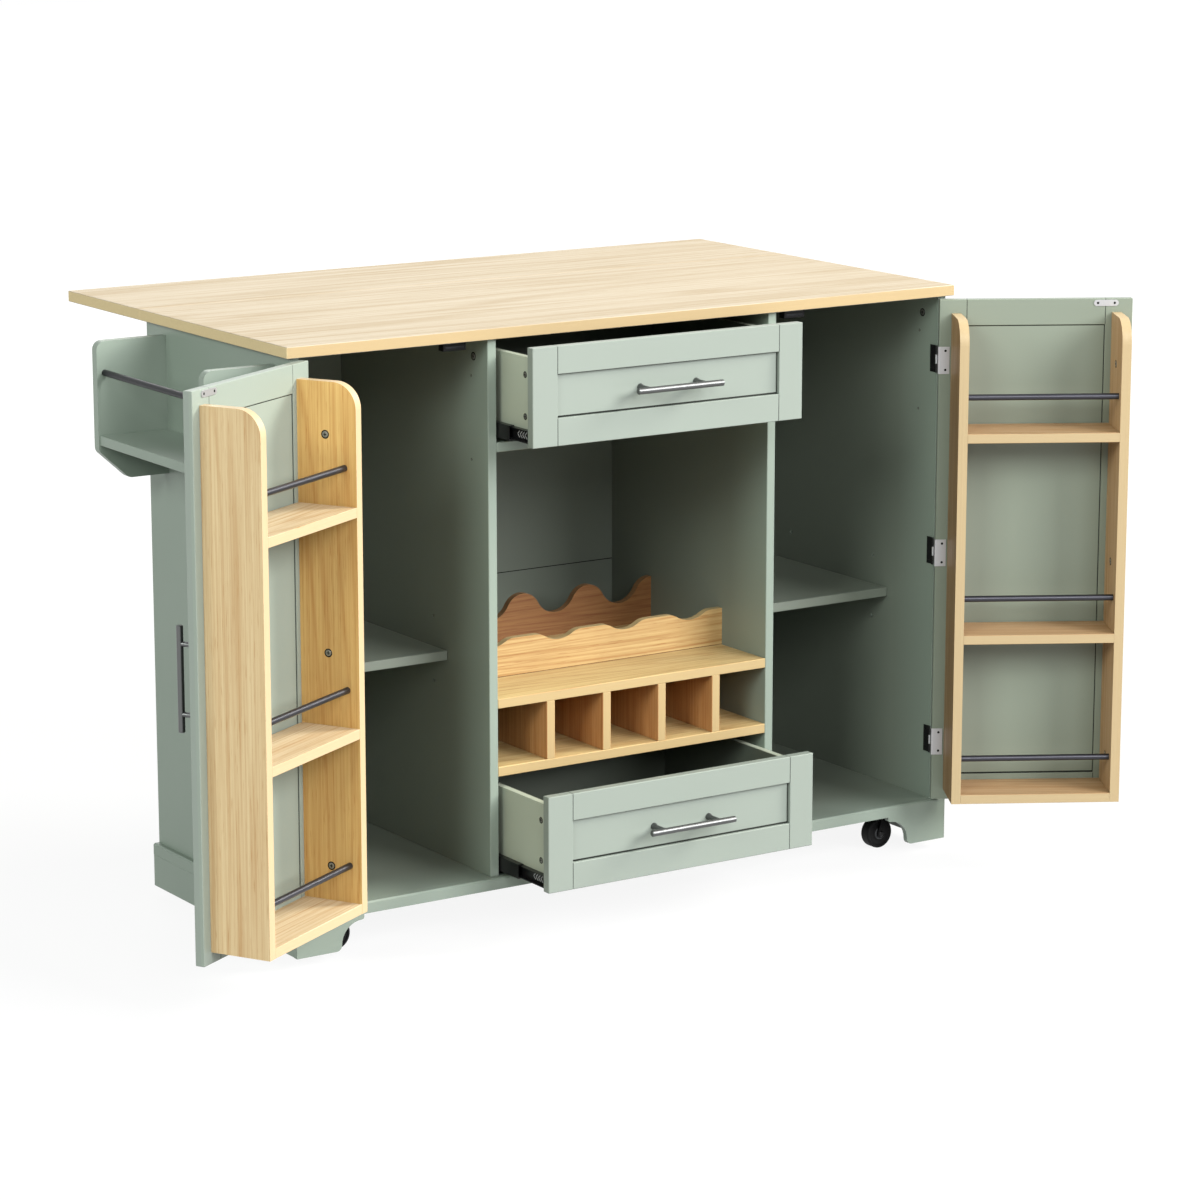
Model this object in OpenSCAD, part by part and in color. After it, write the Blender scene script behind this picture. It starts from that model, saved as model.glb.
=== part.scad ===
// Drop leaf kitchen island on casters: a painted cabinet with two doors that carry
// oak racks, two drawers, an open bottle niche and a folding leaf at the back.
// X runs to the right seen from the doors, Y runs to the back, Z runs up.
// The origin is on the floor, under the middle of the fixed worktop.
// It is drawn with both doors open, both drawers part way out and the leaf up.

/* [Worktop] */
// Length of the worktop and of the leaf
top_w = 1220; // [1160:10:1400]
// Depth of the fixed worktop
top_d = 470; // [450:5:560]
// Thickness of the worktop and of the leaf
top_t = 17; // [15:1:25]
// Height of the worktop above the floor
top_z = 935; // [900:5:960]
// Depth of the folding leaf
leaf_d = 248; // [200:4:300]
// Joint between the worktop and the leaf
leaf_gap = 0.6; // [0.4:0.1:1]

/* [Carcass] */
// Thickness of every carcass board
board_t = 15; // [12:1:18]
// Overhang of the worktop past each side panel
side_over = 10; // [8:1:20]
// Overhang of the worktop in front of the carcass
front_over = 9.5; // [8:0.5:20]
// Overhang of the worktop behind the side panels
back_over = 4; // [2:1:8]
// Clear width of the middle bay
niche_w = 500; // [440:10:560]
// Thickness of the back panels
back_t = 3; // [3:1:6]
// How far the back panels are let in from the back edges
back_inset = 10; // [8:1:16]
// Height of the joint between the two back panels
back_joint_z = 450; // [300:10:600]
// Eased edge of every board
ease = 0.8; // [0.4:0.1:1.2]

/* [Base] */
// Height of the feet above the floor
feet_z = 15; // [8:1:20]
// Height of the plinth and of the bracket feet
plinth_h = 51.5; // [45:0.5:60]
// Height of the cap moulding on the plinth
cap_h = 18; // [15:1:22]
// Bevel on the cap moulding
cap_bevel = 2.5; // [1:0.5:6]
// Length of a bracket foot along the top
foot_w = 120; // [100:5:150]
// Length of a bracket foot at the floor
foot_base_w = 68; // [60:2:80]
// Thickness of a back foot
back_foot_t = 9.5; // [8:0.5:15]

/* [Shelves] */
// Height of the top of the adjustable shelves
shelf_z = 418; // [380:5:460]
// Set-back of the adjustable shelves, which clears the door racks
shelf_back = 122; // [116:1:150]
// Side clearance of an adjustable shelf
shelf_gap = 1; // [0.5:0.5:2]
// Diameter of a shelf pin
pin_d = 5; // [4:0.5:6]
// Depth of a shelf pin hole, and how far the pin stands out
pin_l = 8; // [6:1:10]
// Distance of the front pin holes from the shelf's front edge
pin_set = 42; // [30:2:60]
// Distance of the rear pin holes from the back panel
pin_rear = 50; // [30:5:80]
// Spare pin holes below the shelf
pin_drop = 38; // [32:2:60]
// Spare pin holes above the shelf
pin_rise = 65; // [32:1:90]

/* [Wine rack] */
// Height of the small cubby holes
cubby_h = 92; // [80:2:110]
// Number of cubby holes
cubbies = 5; // [3:1:6]
// Gap between the lower drawer and the wine rack
rack_gap = 3; // [2:0.5:6]
// Number of bottles across
bottles = 4; // [3:1:5]
// Thickness of the bottle rests
rest_t = 12; // [10:1:15]
// Distance of the front rest from the shelf's front edge
rest_front = 121; // [90:5:160]
// Distance between the two rests
rest_apart = 205; // [150:5:240]
// Height of the front rest
rest_front_h = 60; // [50:2:75]
// Depth of the notches in the front rest
notch_front = 12; // [8:1:16]
// Flat crest between two front notches
crest_w = 41; // [30:1:50]
// Radius of the bottom of a front notch
valley_front = 48; // [40:1:60]
// Height of the back rest
rest_back_h = 76; // [66:2:90]
// Depth of the waves in the back rest
notch_back = 38; // [30:2:44]
// Radius of the bottom of a back wave
valley_back = 38; // [32:1:44]

/* [Doors] */
// Thickness of the doors and drawer fronts
door_t = 15; // [12:1:18]
// Gap round the doors and drawer fronts
gap = 4; // [3.6:0.2:6]
// Gap under the doors
door_sill = 2; // [1.5:0.5:4]
// Width of the stiles
stile_w = 44; // [36:2:56]
// Width of the rails
rail_w = 42; // [36:2:46]
// How far the middle panel lies back from the outer face
panel_in = 6; // [3:1:8]
// How far the middle panel lies back from the inner face
panel_back = 2; // [0:0.5:3]
// Opening angle of the left door as drawn
left_open = 150; // [90:5:170]
// Opening angle of the right door as drawn
right_open = 150; // [90:5:170]

/* [Door hinges] */
// Height of a hinge
hinge_h = 44; // [36:2:56]
// Width of a hinge leaf
hinge_w = 17; // [14:1:18]
// Thickness of a hinge leaf
hinge_t = 1.2; // [1:0.1:1.4]
// Diameter of the hinge knuckle
knuckle_d = 3.6; // [3.2:0.1:3.6]
// Diameter of the hinge pin
hinge_pin_d = 2; // [1.6:0.1:2.2]
// Distance of the outer hinges' centres from the ends of the door
hinge_in = 98; // [60:1:200]

/* [Door racks] */
// Distance of the rack from the hinge edge of the door
rack_in = 19.5; // [18:0.5:26]
// Width of the rack
rack_w = 274; // [240:2:276]
// Depth of the rack
rack_d = 98; // [70:2:100]
// Thickness of the rack boards
rack_t = 15; // [12:1:18]
// Bottom of the rack above the bottom of the door
rack_low = 17.5; // [10:0.5:30]
// Top of the rack below the top of the door
rack_drop = 22; // [16:1:60]
// Rounding of the front top corners
rack_round = 38; // [20:2:60]
// Heights of the shelf tops above the bottom of the rack
rack_shelves = [15, 280, 608];
// Height of a rod above its shelf
rod_up = 56; // [40:2:90]
// Distance of a rod from the front of the rack
rod_in = 20; // [14:1:30]
// Diameter of the rods
rod_d = 10; // [8:1:12]
// How deep a rod sits in the boards
rod_seat = 6; // [4:1:8]

/* [Handles] */
// Length of a handle bar
handle_l = 155; // [130:5:190]
// Distance between the posts
post_span = 102; // [96:2:120]
// Diameter of the bar
handle_d = 10; // [8:1:12]
// Diameter of the posts
post_d = 8; // [6:1:9]
// Distance of the bar's centre from the face
handle_out = 28; // [24:1:36]
// Height of the door handles' centre above the bottom of the door
handle_up = 412; // [300:4:600]

/* [Drawers] */
// Height of a drawer front
front_h = 150; // [140:2:170]
// How far the top drawer is drawn out
top_out = 96; // [0:4:240]
// How far the bottom drawer is drawn out
low_out = 136; // [0:4:240]
// Length of the drawer boxes
box_l = 380; // [360:5:400]
// Height of the drawer boxes
box_h = 129; // [100:1:132]
// Thickness of the drawer sides
box_t = 12; // [9:1:15]
// Thickness of the drawer bottom
floor_t = 4; // [3:1:6]
// Height of the drawer box above the bottom of its front
box_up = 4; // [3:1:12]
// Length of the slides
slide_l = 350; // [300:10:360]
// Height of the slides
slide_h = 26; // [22:1:30]
// Height of the slides' middle above the bottom of a drawer front
slide_up = 15; // [13:1:40]
// Room for a slide beside the drawer box
slide_w = 12.7; // [12:0.1:14]
// Thickness of the slide's steel
slide_t = 1.2; // [1:0.1:1.4]

/* [Catches] */
// Length of a magnetic catch and of its strike plate
catch_l = 40; // [30:2:46]
// Depth of a magnetic catch
catch_d = 14; // [10:1:18]
// Height of a magnetic catch
catch_h = 16; // [12:1:18]
// Height of a strike plate
strike_h = 10; // [8:1:12]
// Thickness of a strike plate
strike_t = 1.2; // [1:0.1:1.6]
// Distance of the strike plate's centre from the free edge of the door
strike_in = 43; // [30:1:60]
// Distance of the strike plate's centre from the top of the door
strike_drop = 7; // [6:0.5:10]

/* [Spice rack] */
// Depth of the spice rack
spice_d = 117.5; // [90:2.5:140]
// Length of the spice rack
spice_l = 362; // [300:2:420]
// Height of its end plates
spice_h = 213.5; // [180:0.5:240]
// Top of its end plates below the worktop
spice_drop = 16; // [10:2:40]
// Height of its shelf above the bottom of the end plates
spice_shelf = 54; // [50:1:80]
// Height of its rod above the shelf
spice_rod_up = 96; // [55:1:105]
// Distance of its rod from the front
spice_rod_in = 13; // [10:1:20]
// Width of an end plate at the bottom
spice_foot_w = 69.5; // [50:0.5:80]
// Height of the slanted corner
spice_slant = 44; // [30:1:50]
// Rounding of its corners
spice_round = 14; // [8:1:20]

/* [Leaf supports] */
// Distance of a strut's pivot from the leaf's hinge line
strut_out = 130; // [110:5:150]
// Length of a strut between centres
strut_l = 185; // [180:5:220]
// Width of a strut
strut_w = 9; // [8:0.5:9]
// Thickness of a strut
strut_t = 5; // [4:0.5:6]
// Diameter of a strut's pivot pin
strut_pin_d = 5; // [4:0.5:5]
// Depth of the strut's pivot below the leaf's hinge line
strut_low = 5; // [4.5:0.5:6]
// Thickness of the bracket and rail steel
steel_t = 2; // [1.5:0.5:2]
// Depth of a strut rail
rail_d = 12; // [10:1:12]
// Length of a strut rail above the strut's foot
rail_up = 90; // [30:5:95]
// Side clearance of the strut in its rail
rail_play = 1; // [0.5:0.5:2]
// Length of a strut bracket under the leaf
bracket_l = 70; // [50:5:90]
// Length of a leaf hinge
leaf_hinge_l = 60; // [40:5:80]
// Width of a leaf hinge's flap
leaf_flap_w = 11; // [8:1:12]
// Thickness of a leaf hinge's flap
leaf_flap_t = 1.6; // [1.2:0.2:2]
// Diameter of the leaf hinge's knuckle
leaf_knuckle_d = 7; // [6:0.5:8]
// Diameter of the leaf hinge's pin
leaf_pin_d = 3; // [2.5:0.5:4]

/* [Casters] */
// Diameter of a wheel
wheel_d = 50; // [44:2:54]
// Width of a wheel
wheel_w = 20; // [16:1:24]
// Distance from the swivel axis to the axle
trail = 15; // [10:1:20]
// Distance of the swivel axes from the side panels
caster_in = 55; // [50:1:90]
// Distance of the front swivel axes from the carcass front
caster_front = 50.5; // [48:0.5:90]
// Distance of the rear swivel axes from the back panel
caster_back = 62; // [58:1:100]
// Size of a caster plate
plate_s = 42; // [36:2:50]
// Thickness of a caster plate
plate_t = 2.5; // [2:0.5:4]
// Thickness of the fork's steel
fork_t = 2.5; // [2:0.5:3]
// Diameter of the kingpin
king_d = 8; // [6:1:10]
// Diameter of the axle
axle_d = 6; // [5:1:8]

/* [Hidden] */

sage = [0.62, 0.70, 0.63];
oak = [0.80, 0.62, 0.38];
pale_oak = [0.90, 0.78, 0.60];
steel = [0.75, 0.75, 0.75];
gunmetal = [0.22, 0.22, 0.23];
black = [0.08, 0.08, 0.08];

$fn = 48;
tiny = 0.01;
run = 0.05; // radial clearance of a shaft in its bore
seat_gap = 0.3; // end clearance of a rod in its hole
small_ease = 0.5; // eased edge of the rack shelves and the drawer boxes
thin_ease = 0.3; // eased edge of the thin panels
knuckle_play = 0.4; // clearance of a hinge leaf from the other leaf's knuckles
catch_air = 0.4; // air between a catch and the strike plate of a shut door
flap_play = 1; // clearance of a leaf hinge's flap from its knuckles
leaf_hinge_in = 4; // distance of the outer leaf hinges from the side panels

// Planes of the carcass
under_top = top_z - top_t;
front_y = -top_d / 2 + front_over;
edge_y = top_d / 2;
back_y = edge_y - back_over;
panel_y = back_y - back_inset - back_t;
out_x = top_w / 2 - side_over;
in_x = out_x - board_t;
niche_x = niche_w / 2;
part_x = niche_x + board_t;
bay_w = in_x - part_x;
cap_z = feet_z + plinth_h;
floor_z = cap_z + cap_h;
under_z = floor_z - board_t;

// Doors and drawers
door_w = bay_w - 2 * gap;
door_z = floor_z + door_sill;
door_h = under_top - gap - door_z;
hinge_x = in_x - gap / 2;
front_w = niche_w - 2 * gap;
low_z = floor_z + gap;
high_z = under_top - gap - front_h;
box_w = niche_w - 2 * slide_w;

// Wine rack and shelves
cubby_z = low_z + front_h + rack_gap + board_t;
wine_z = cubby_z + cubby_h + board_t;
shelf_low = shelf_z - board_t;
pin_z = shelf_low - pin_d / 2;
pin_ys = [front_y + shelf_back + pin_set, panel_y - pin_rear];

// Leaf: its hinge line lies just under the joint
leaf_y = edge_y + leaf_gap / 2;
leaf_axis_z = under_top - leaf_knuckle_d / 2 - seat_gap;
strut_pivot = [leaf_y + strut_out, leaf_axis_z - strut_low];
strut_foot_y = leaf_y - strut_low;
strut_reach = strut_pivot[0] - strut_foot_y;
strut_angle = asin(strut_reach / strut_l);
strut_foot_z = strut_pivot[1] - strut_l * cos(strut_angle);
strut_down_z = leaf_axis_z - strut_out - strut_l;
rail_low = strut_down_z - strut_w;
rail_high = strut_foot_z + rail_up;
rail_in_w = strut_t + 4 * steel_t + 2 * rail_play;
strut_xs = [-niche_x - board_t / 2, niche_x + board_t / 2];
leaf_hinge_xs = [for (side = [-1 : 1]) side * (in_x - leaf_hinge_l / 2 - leaf_hinge_in)];

// Casters
caster_x = in_x - caster_in;
caster_fy = front_y + caster_front;
caster_by = panel_y - caster_back;
wheel_gap = 1; // side clearance of a wheel in its fork
boss_h = 6; // height of the boss under a caster plate
fork_gap = 0.5; // clearance between that boss and the fork
king_cover = 0.6; // steel left over the kingpin's bore
fork_z = under_z - plate_t - boss_h - fork_gap;

// A box between two corners
module box(a, b) {
    translate(a) cube(b - a);
}

// A rectangle with its four corners cut off
module cut_rect(w, h, c) {
    polygon([[c, 0], [w - c, 0], [w, c], [w, h - c], [w - c, h], [c, h], [0, h - c], [0, c]]);
}

// A board between two corners, with all its edges eased
module board(a, b, c = ease) {
    s = b - a;
    translate(a) intersection() {
        linear_extrude(s[2]) cut_rect(s[0], s[1], c);
        translate([0, s[1], 0]) rotate([90, 0, 0]) linear_extrude(s[1]) cut_rect(s[0], s[2], c);
        rotate([90, 0, 90]) linear_extrude(s[0]) cut_rect(s[1], s[2], c);
    }
}

module rod_x(x0, x1, y, z, d) {
    translate([x0, y, z]) rotate([0, 90, 0]) cylinder(h = x1 - x0, d = d);
}

module rod_y(y0, y1, x, z, d) {
    translate([x, y1, z]) rotate([90, 0, 0]) cylinder(h = y1 - y0, d = d);
}

module both() {
    children();
    mirror([1, 0, 0]) children();
}

// Points on an arc round a centre
function arc(c, r, a0, a1, n) =
    [for (i = [0 : n]) let (a = a0 + (a1 - a0) * i / n) c + r * [cos(a), sin(a)]];

// ---- Worktop and leaf ----

module worktop() {
    color(pale_oak) board([-top_w / 2, -top_d / 2, under_top], [top_w / 2, edge_y, top_z]);
}

module drop_leaf() {
    color(pale_oak) board([-top_w / 2, edge_y + leaf_gap, under_top],
                          [top_w / 2, edge_y + leaf_gap + leaf_d, top_z]);
}

// Knuckle lengths of a leaf hinge: the worktop has the outer thirds, the leaf the middle
leaf_third = leaf_hinge_l / 3;

module leaf_hinge_plates() {
    color(black) for (x = leaf_hinge_xs) {
        for (side = [-1, 1]) {
            x0 = x + side * leaf_third - leaf_third / 2;
            rod_x(x0, x0 + leaf_third - seat_gap, leaf_y, leaf_axis_z, leaf_knuckle_d);
            box([x0, leaf_y - leaf_flap_w, under_top - leaf_flap_t],
                [x0 + leaf_third - seat_gap, leaf_y, under_top]);
        }
        rod_x(x - leaf_hinge_l / 2 + tiny, x + leaf_hinge_l / 2 - seat_gap - tiny,
              leaf_y, leaf_axis_z, leaf_pin_d);
        box([x - leaf_hinge_l / 2, leaf_y - leaf_flap_w, under_top - leaf_flap_t],
            [x + leaf_hinge_l / 2 - seat_gap, leaf_y - leaf_knuckle_d / 2 - flap_play, under_top]);
    }
}

module leaf_hinge_flaps() {
    color(black) for (x = leaf_hinge_xs) {
        difference() {
            union() {
                x0 = x - leaf_third / 2;
                rod_x(x0, x0 + leaf_third - seat_gap, leaf_y, leaf_axis_z, leaf_knuckle_d);
                box([x0, leaf_y, under_top - leaf_flap_t],
                    [x0 + leaf_third - seat_gap, leaf_y + leaf_flap_w, under_top]);
                box([x - leaf_hinge_l / 2, leaf_y + leaf_knuckle_d / 2 + flap_play, under_top - leaf_flap_t],
                    [x + leaf_hinge_l / 2 - seat_gap, leaf_y + 2 * leaf_flap_w, under_top]);
            }
            rod_x(x - leaf_hinge_l, x + leaf_hinge_l, leaf_y, leaf_axis_z, leaf_pin_d + 2 * run);
        }
    }
}

// A bracket under the leaf: a plate with two ears and the strut's pivot pin
module strut_brackets() {
    ear_in = strut_t / 2 + rail_play / 2;
    ear_out = ear_in + steel_t;
    y0 = strut_pivot[0] - bracket_l / 2;
    ear_r = strut_w / 2;
    color(black) for (x = strut_xs) {
        box([x - ear_out, y0, under_top - steel_t], [x + ear_out, y0 + bracket_l, under_top]);
        for (side = [-1, 1]) {
            xe = x + side * (ear_in + steel_t / 2);
            rod_x(xe - steel_t / 2, xe + steel_t / 2, strut_pivot[0], strut_pivot[1], 2 * ear_r);
            box([xe - steel_t / 2, strut_pivot[0] - ear_r, strut_pivot[1]],
                [xe + steel_t / 2, strut_pivot[0] + ear_r, under_top - steel_t]);
        }
        rod_x(x - ear_out, x + ear_out, strut_pivot[0], strut_pivot[1], strut_pin_d);
    }
}

// A flat strut from the bracket down to its rail on the back, with a cross pin in its foot
module leaf_struts() {
    color(black) for (x = strut_xs) {
        translate([x - strut_t / 2, strut_pivot[0], strut_pivot[1]])
        rotate([-strut_angle, 0, 0]) {
            difference() {
                union() {
                    rod_x(0, strut_t, 0, 0, strut_w);
                    rod_x(0, strut_t, 0, -strut_l, strut_w);
                    box([0, -strut_w / 2, -strut_l], [strut_t, strut_w / 2, 0]);
                    rod_x(strut_t / 2 - rail_in_w / 2 + seat_gap, strut_t / 2 + rail_in_w / 2 - seat_gap,
                          0, -strut_l, strut_pin_d);
                }
                rod_x(-tiny, strut_t + tiny, 0, 0, strut_pin_d + 2 * run);
            }
        }
    }
}

// A steel channel on the back, open to the rear, in which the strut's foot slides
module strut_rails() {
    half = rail_in_w / 2;
    y0 = panel_y + back_t;
    color(black) for (x = strut_xs) {
        box([x - half - steel_t, y0, rail_low], [x + half + steel_t, y0 + steel_t, rail_high]);
        for (side = [-1, 1]) {
            xe = x + side * (half + steel_t / 2);
            box([xe - steel_t / 2, y0 + steel_t, rail_low],
                [xe + steel_t / 2, y0 + rail_d, rail_high]);
        }
    }
}

// ---- Carcass ----

// The holes for shelf pins in one face: depth runs from the face at x, towards dir
module pin_holes(x, dir) {
    for (y = pin_ys, dz = [-pin_drop, 0, pin_rise]) {
        x0 = dir > 0 ? x - tiny : x - pin_l;
        rod_x(x0, x0 + pin_l + tiny, y, pin_z + dz, pin_d + 2 * run);
    }
}

module side_panel() {
    difference() {
        board([in_x, front_y, feet_z], [out_x, back_y, under_top]);
        pin_holes(in_x, 1);
    }
}

module right_side_panel() {
    color(sage) side_panel();
}

module left_side_panel() {
    color(sage) mirror([1, 0, 0]) side_panel();
}

module partition() {
    difference() {
        board([niche_x, front_y, floor_z], [part_x, panel_y, under_top]);
        pin_holes(part_x, -1);
    }
}

module right_partition() {
    color(sage) partition();
}

module left_partition() {
    color(sage) mirror([1, 0, 0]) partition();
}

module bottom_panel() {
    color(sage) board([-in_x, front_y, under_z], [in_x, panel_y, floor_z]);
}

module back_panels() {
    color(sage) {
        board([-in_x, panel_y, under_z], [in_x, panel_y + back_t, back_joint_z - seat_gap], thin_ease);
        board([-in_x, panel_y, back_joint_z], [in_x, panel_y + back_t, under_top], thin_ease);
    }
}

module drawer_shelf() {
    z1 = high_z - gap;
    color(sage) board([-niche_x, front_y, z1 - board_t], [niche_x, panel_y, z1]);
}

module adjustable_shelves() {
    color(sage) both() board([part_x + shelf_gap, front_y + shelf_back, shelf_low],
                             [in_x - shelf_gap, panel_y - shelf_gap, shelf_z]);
}

module shelf_pins() {
    color(steel) both() for (y = pin_ys) {
        rod_x(in_x - pin_l, in_x + pin_l - seat_gap, y, pin_z, pin_d);
        rod_x(part_x - pin_l + seat_gap, part_x + pin_l, y, pin_z, pin_d);
    }
}

// ---- Wine rack ----

module wine_shelves() {
    color(oak) for (z = [cubby_z, wine_z]) {
        board([-niche_x, front_y, z - board_t], [niche_x, panel_y, z]);
    }
}

module wine_dividers() {
    pitch = (niche_w - (cubbies - 1) * board_t) / cubbies + board_t;
    color(oak) for (i = [1 : cubbies - 1]) {
        x = -niche_x + i * pitch - board_t;
        board([x, front_y, cubby_z], [x + board_t, panel_y, cubby_z + cubby_h]);
    }
}

module rest_board(points, y) {
    color(oak) translate([-niche_x, y + rest_t, wine_z]) rotate([90, 0, 0])
        linear_extrude(rest_t) polygon(concat([[niche_w, 0], [0, 0]], points));
}

rest_pitch = niche_w / bottles;
rest_y = front_y + rest_front;

// Height above the valley of a wave, at the distance u from the valley: a round valley
// runs on into a round shoulder, which is flat where it ends, at half
function wave(u, half, depth, valley_r) = let (both_r = (half * half + depth * depth) / (2 * depth),
    low_r = min(valley_r, 0.8 * both_r), high_r = both_r - low_r, touch = half * low_r / both_r, t = abs(u))
    t >= half ? depth
    : t <= touch ? low_r - sqrt(max(0, low_r * low_r - t * t))
    : depth - high_r + sqrt(max(0, high_r * high_r - (half - t) * (half - t)));

rest_steps = 24; // points along one wave
rest_us = [for (i = [0 : bottles * rest_steps]) i / rest_steps];

// The distance from the nearest valley, which lies half a pitch from each crest
function from_valley(u) = (u - floor(u) - 0.5) * rest_pitch;

module bottle_rest_front() {
    low = rest_front_h - notch_front;
    half = (rest_pitch - crest_w) / 2;
    rest_board([for (u = rest_us)
        [u * rest_pitch, low + wave(from_valley(u), half, notch_front, valley_front)]], rest_y);
}

module bottle_rest_back() {
    low = rest_back_h - notch_back;
    rest_board([for (u = rest_us)
        [u * rest_pitch, low + wave(from_valley(u), rest_pitch / 2, notch_back, valley_back)]],
        rest_y + rest_apart);
}

// ---- Base ----

// The moulding's section, w deep: only its top outer edge is bevelled
module cap_section(w) {
    polygon([[0, 0], [w, 0], [w, cap_h], [cap_bevel, cap_h], [0, cap_h - cap_bevel]]);
}

// The side lengths run behind the front length, which is bevelled at its ends too
module cap_moulding() {
    color(sage) {
        both() translate([-top_w / 2, back_y, cap_z]) rotate([90, 0, 0])
            linear_extrude(back_y - front_y - seat_gap) cap_section(side_over);
        intersection() {
            translate([-top_w / 2, -top_d / 2, cap_z]) rotate([90, 0, 90])
                linear_extrude(top_w) cap_section(front_over);
            for (side = [0, 1]) mirror([side, 0, 0])
                translate([-top_w / 2, front_y, cap_z]) rotate([90, 0, 0])
                    linear_extrude(front_over) cap_section(top_w / 2 + tiny);
        }
    }
}

module side_plinths() {
    color(sage) both() board([-top_w / 2, front_y, feet_z], [-out_x, back_y, cap_z]);
}

// A bracket foot seen from the front, with its outer end at 0: a small round at the
// toe, a hollow curve, and a small round under the top
module foot_outline(h) {
    toe_r = 9;
    lip = 8;
    hollow = foot_w - foot_base_w - toe_r - lip;
    rise = h - toe_r - lip;
    polygon(concat([[0, 0]],
        arc([foot_base_w, toe_r], toe_r, -90, 0, 5),
        [for (i = [1 : 8]) let (a = 90 * i / 8)
            [foot_base_w + toe_r + hollow * (1 - cos(a)), toe_r + rise * sin(a)]],
        arc([foot_w - lip, h - lip / 2], lip / 2, -60, 0, 3),
        [[foot_w - lip / 2, h], [0, h]]));
}

module bracket_feet() {
    back_h = under_z - feet_z;
    color(sage) both() {
        translate([-top_w / 2, front_y, feet_z]) rotate([90, 0, 0])
            linear_extrude(front_over) foot_outline(plinth_h);
        translate([-in_x, panel_y, feet_z]) rotate([90, 0, 0])
            linear_extrude(back_foot_t) foot_outline(back_h);
    }
}

// ---- Spice rack on the left side panel ----

spice_low = under_top - spice_drop - spice_h;
spice_shelf_z = spice_low + spice_shelf;
spice_rod = [-out_x - spice_d + spice_rod_in, spice_shelf_z + board_t + spice_rod_up];
spice_shelf_in = 2; // set-back of its shelf from the front of the end plates

module spice_outline() {
    offset_r = spice_round;
    d = spice_d;
    h = spice_h;
    polygon(concat([[0, 0]],
        arc([spice_foot_w - offset_r / 2, offset_r], offset_r, -90, -48, 4),
        arc([d - offset_r, spice_slant + offset_r / 2], offset_r, -42, 0, 4),
        arc([d - offset_r, h - offset_r], offset_r, 0, 90, 8),
        [[0, h]]));
}

module spice_rack_plates() {
    color(sage) for (side = [-1, 1]) {
        y1 = side < 0 ? -spice_l / 2 + board_t : spice_l / 2;
        difference() {
            translate([-out_x, y1, spice_low]) mirror([1, 0, 0]) rotate([90, 0, 0])
                linear_extrude(board_t) spice_outline();
            rod_y(-spice_l / 2 + board_t - rod_seat, spice_l / 2 - board_t + rod_seat,
                  spice_rod[0], spice_rod[1], rod_d + 2 * run);
        }
    }
}

module spice_rack_shelf() {
    y = spice_l / 2 - board_t;
    color(sage) board([-out_x - spice_d + spice_shelf_in, -y, spice_shelf_z],
                      [-out_x, y, spice_shelf_z + board_t]);
}

module spice_rack_rod() {
    y = spice_l / 2 - board_t + rod_seat - seat_gap;
    color(gunmetal) rod_y(-y, y, spice_rod[0], spice_rod[1], rod_d);
}

// ---- Doors ----
// A door is drawn shut, in its own axes: the hinge pin is the Z axis, the outer face is
// the plane Y = 0, and the door runs along +X. swing() then opens it and sets it in place.

module swing(side, angle) {
    mirror([side > 0 ? 1 : 0, 0, 0]) translate([-hinge_x, front_y, 0])
        rotate([0, 0, -angle]) children();
}

// A five piece shaker panel with its lower left corner at x0, z0
module shaker(x0, z0, w, h) {
    x1 = x0 + w;
    z1 = z0 + h;
    board([x0, 0, z0], [x0 + stile_w, door_t, z1]);
    board([x1 - stile_w, 0, z0], [x1, door_t, z1]);
    board([x0 + stile_w, 0, z0], [x1 - stile_w, door_t, z0 + rail_w]);
    board([x0 + stile_w, 0, z1 - rail_w], [x1 - stile_w, door_t, z1]);
    board([x0 + stile_w, panel_in, z0 + rail_w], [x1 - stile_w, door_t - panel_back, z1 - rail_w]);
}

// A bar handle along Z or X, on posts that stand on a face the given depth behind Y = 0
module handle_bar(upright, depth) {
    rotate([0, upright ? 0 : 90, 0]) {
        translate([0, -handle_out, -handle_l / 2]) cylinder(h = handle_l, d = handle_d);
        for (z = [-post_span / 2, post_span / 2]) {
            difference() {
                translate([0, depth, z]) rotate([90, 0, 0]) cylinder(h = handle_out + depth, d = post_d);
                translate([0, -handle_out, -handle_l / 2]) cylinder(h = handle_l, d = handle_d);
            }
        }
    }
}

edge_x = gap / 2; // the door's hinge edge, from the pin
rack_h = door_h - rack_low - rack_drop;
free_x = edge_x + door_w;
rack_x = edge_x + rack_in;
rack_z = door_z + rack_low;
knuckle = hinge_h / 3;
hinge_zs = [door_z + hinge_in, door_z + door_h / 2, door_z + door_h - hinge_in];

module door_leaf() {
    color(sage) shaker(edge_x, door_z, door_w, door_h);
}

module door_handle() {
    color(steel) translate([free_x - stile_w / 2, 0, door_z + handle_up]) handle_bar(true, 0);
}

// The moving hinge leaf wraps the door's edge and lies on its inner face
module door_hinge_leaf(z) {
    difference() {
        union() {
            translate([0, 0, z - knuckle / 2 + run]) cylinder(h = knuckle - 2 * run, d = knuckle_d);
            box([edge_x - hinge_t, 0, z - knuckle / 2 + run],
                [edge_x, knuckle_d, z + knuckle / 2 - run]);
            box([edge_x - hinge_t, knuckle_d / 2 + knuckle_play, z - hinge_h / 2],
                [edge_x, door_t + hinge_t, z + hinge_h / 2]);
            box([edge_x - hinge_t, door_t, z - hinge_h / 2],
                [edge_x + hinge_w, door_t + hinge_t, z + hinge_h / 2]);
        }
        translate([0, 0, z - hinge_h]) cylinder(h = 2 * hinge_h, d = hinge_pin_d + 2 * run);
    }
}

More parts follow.
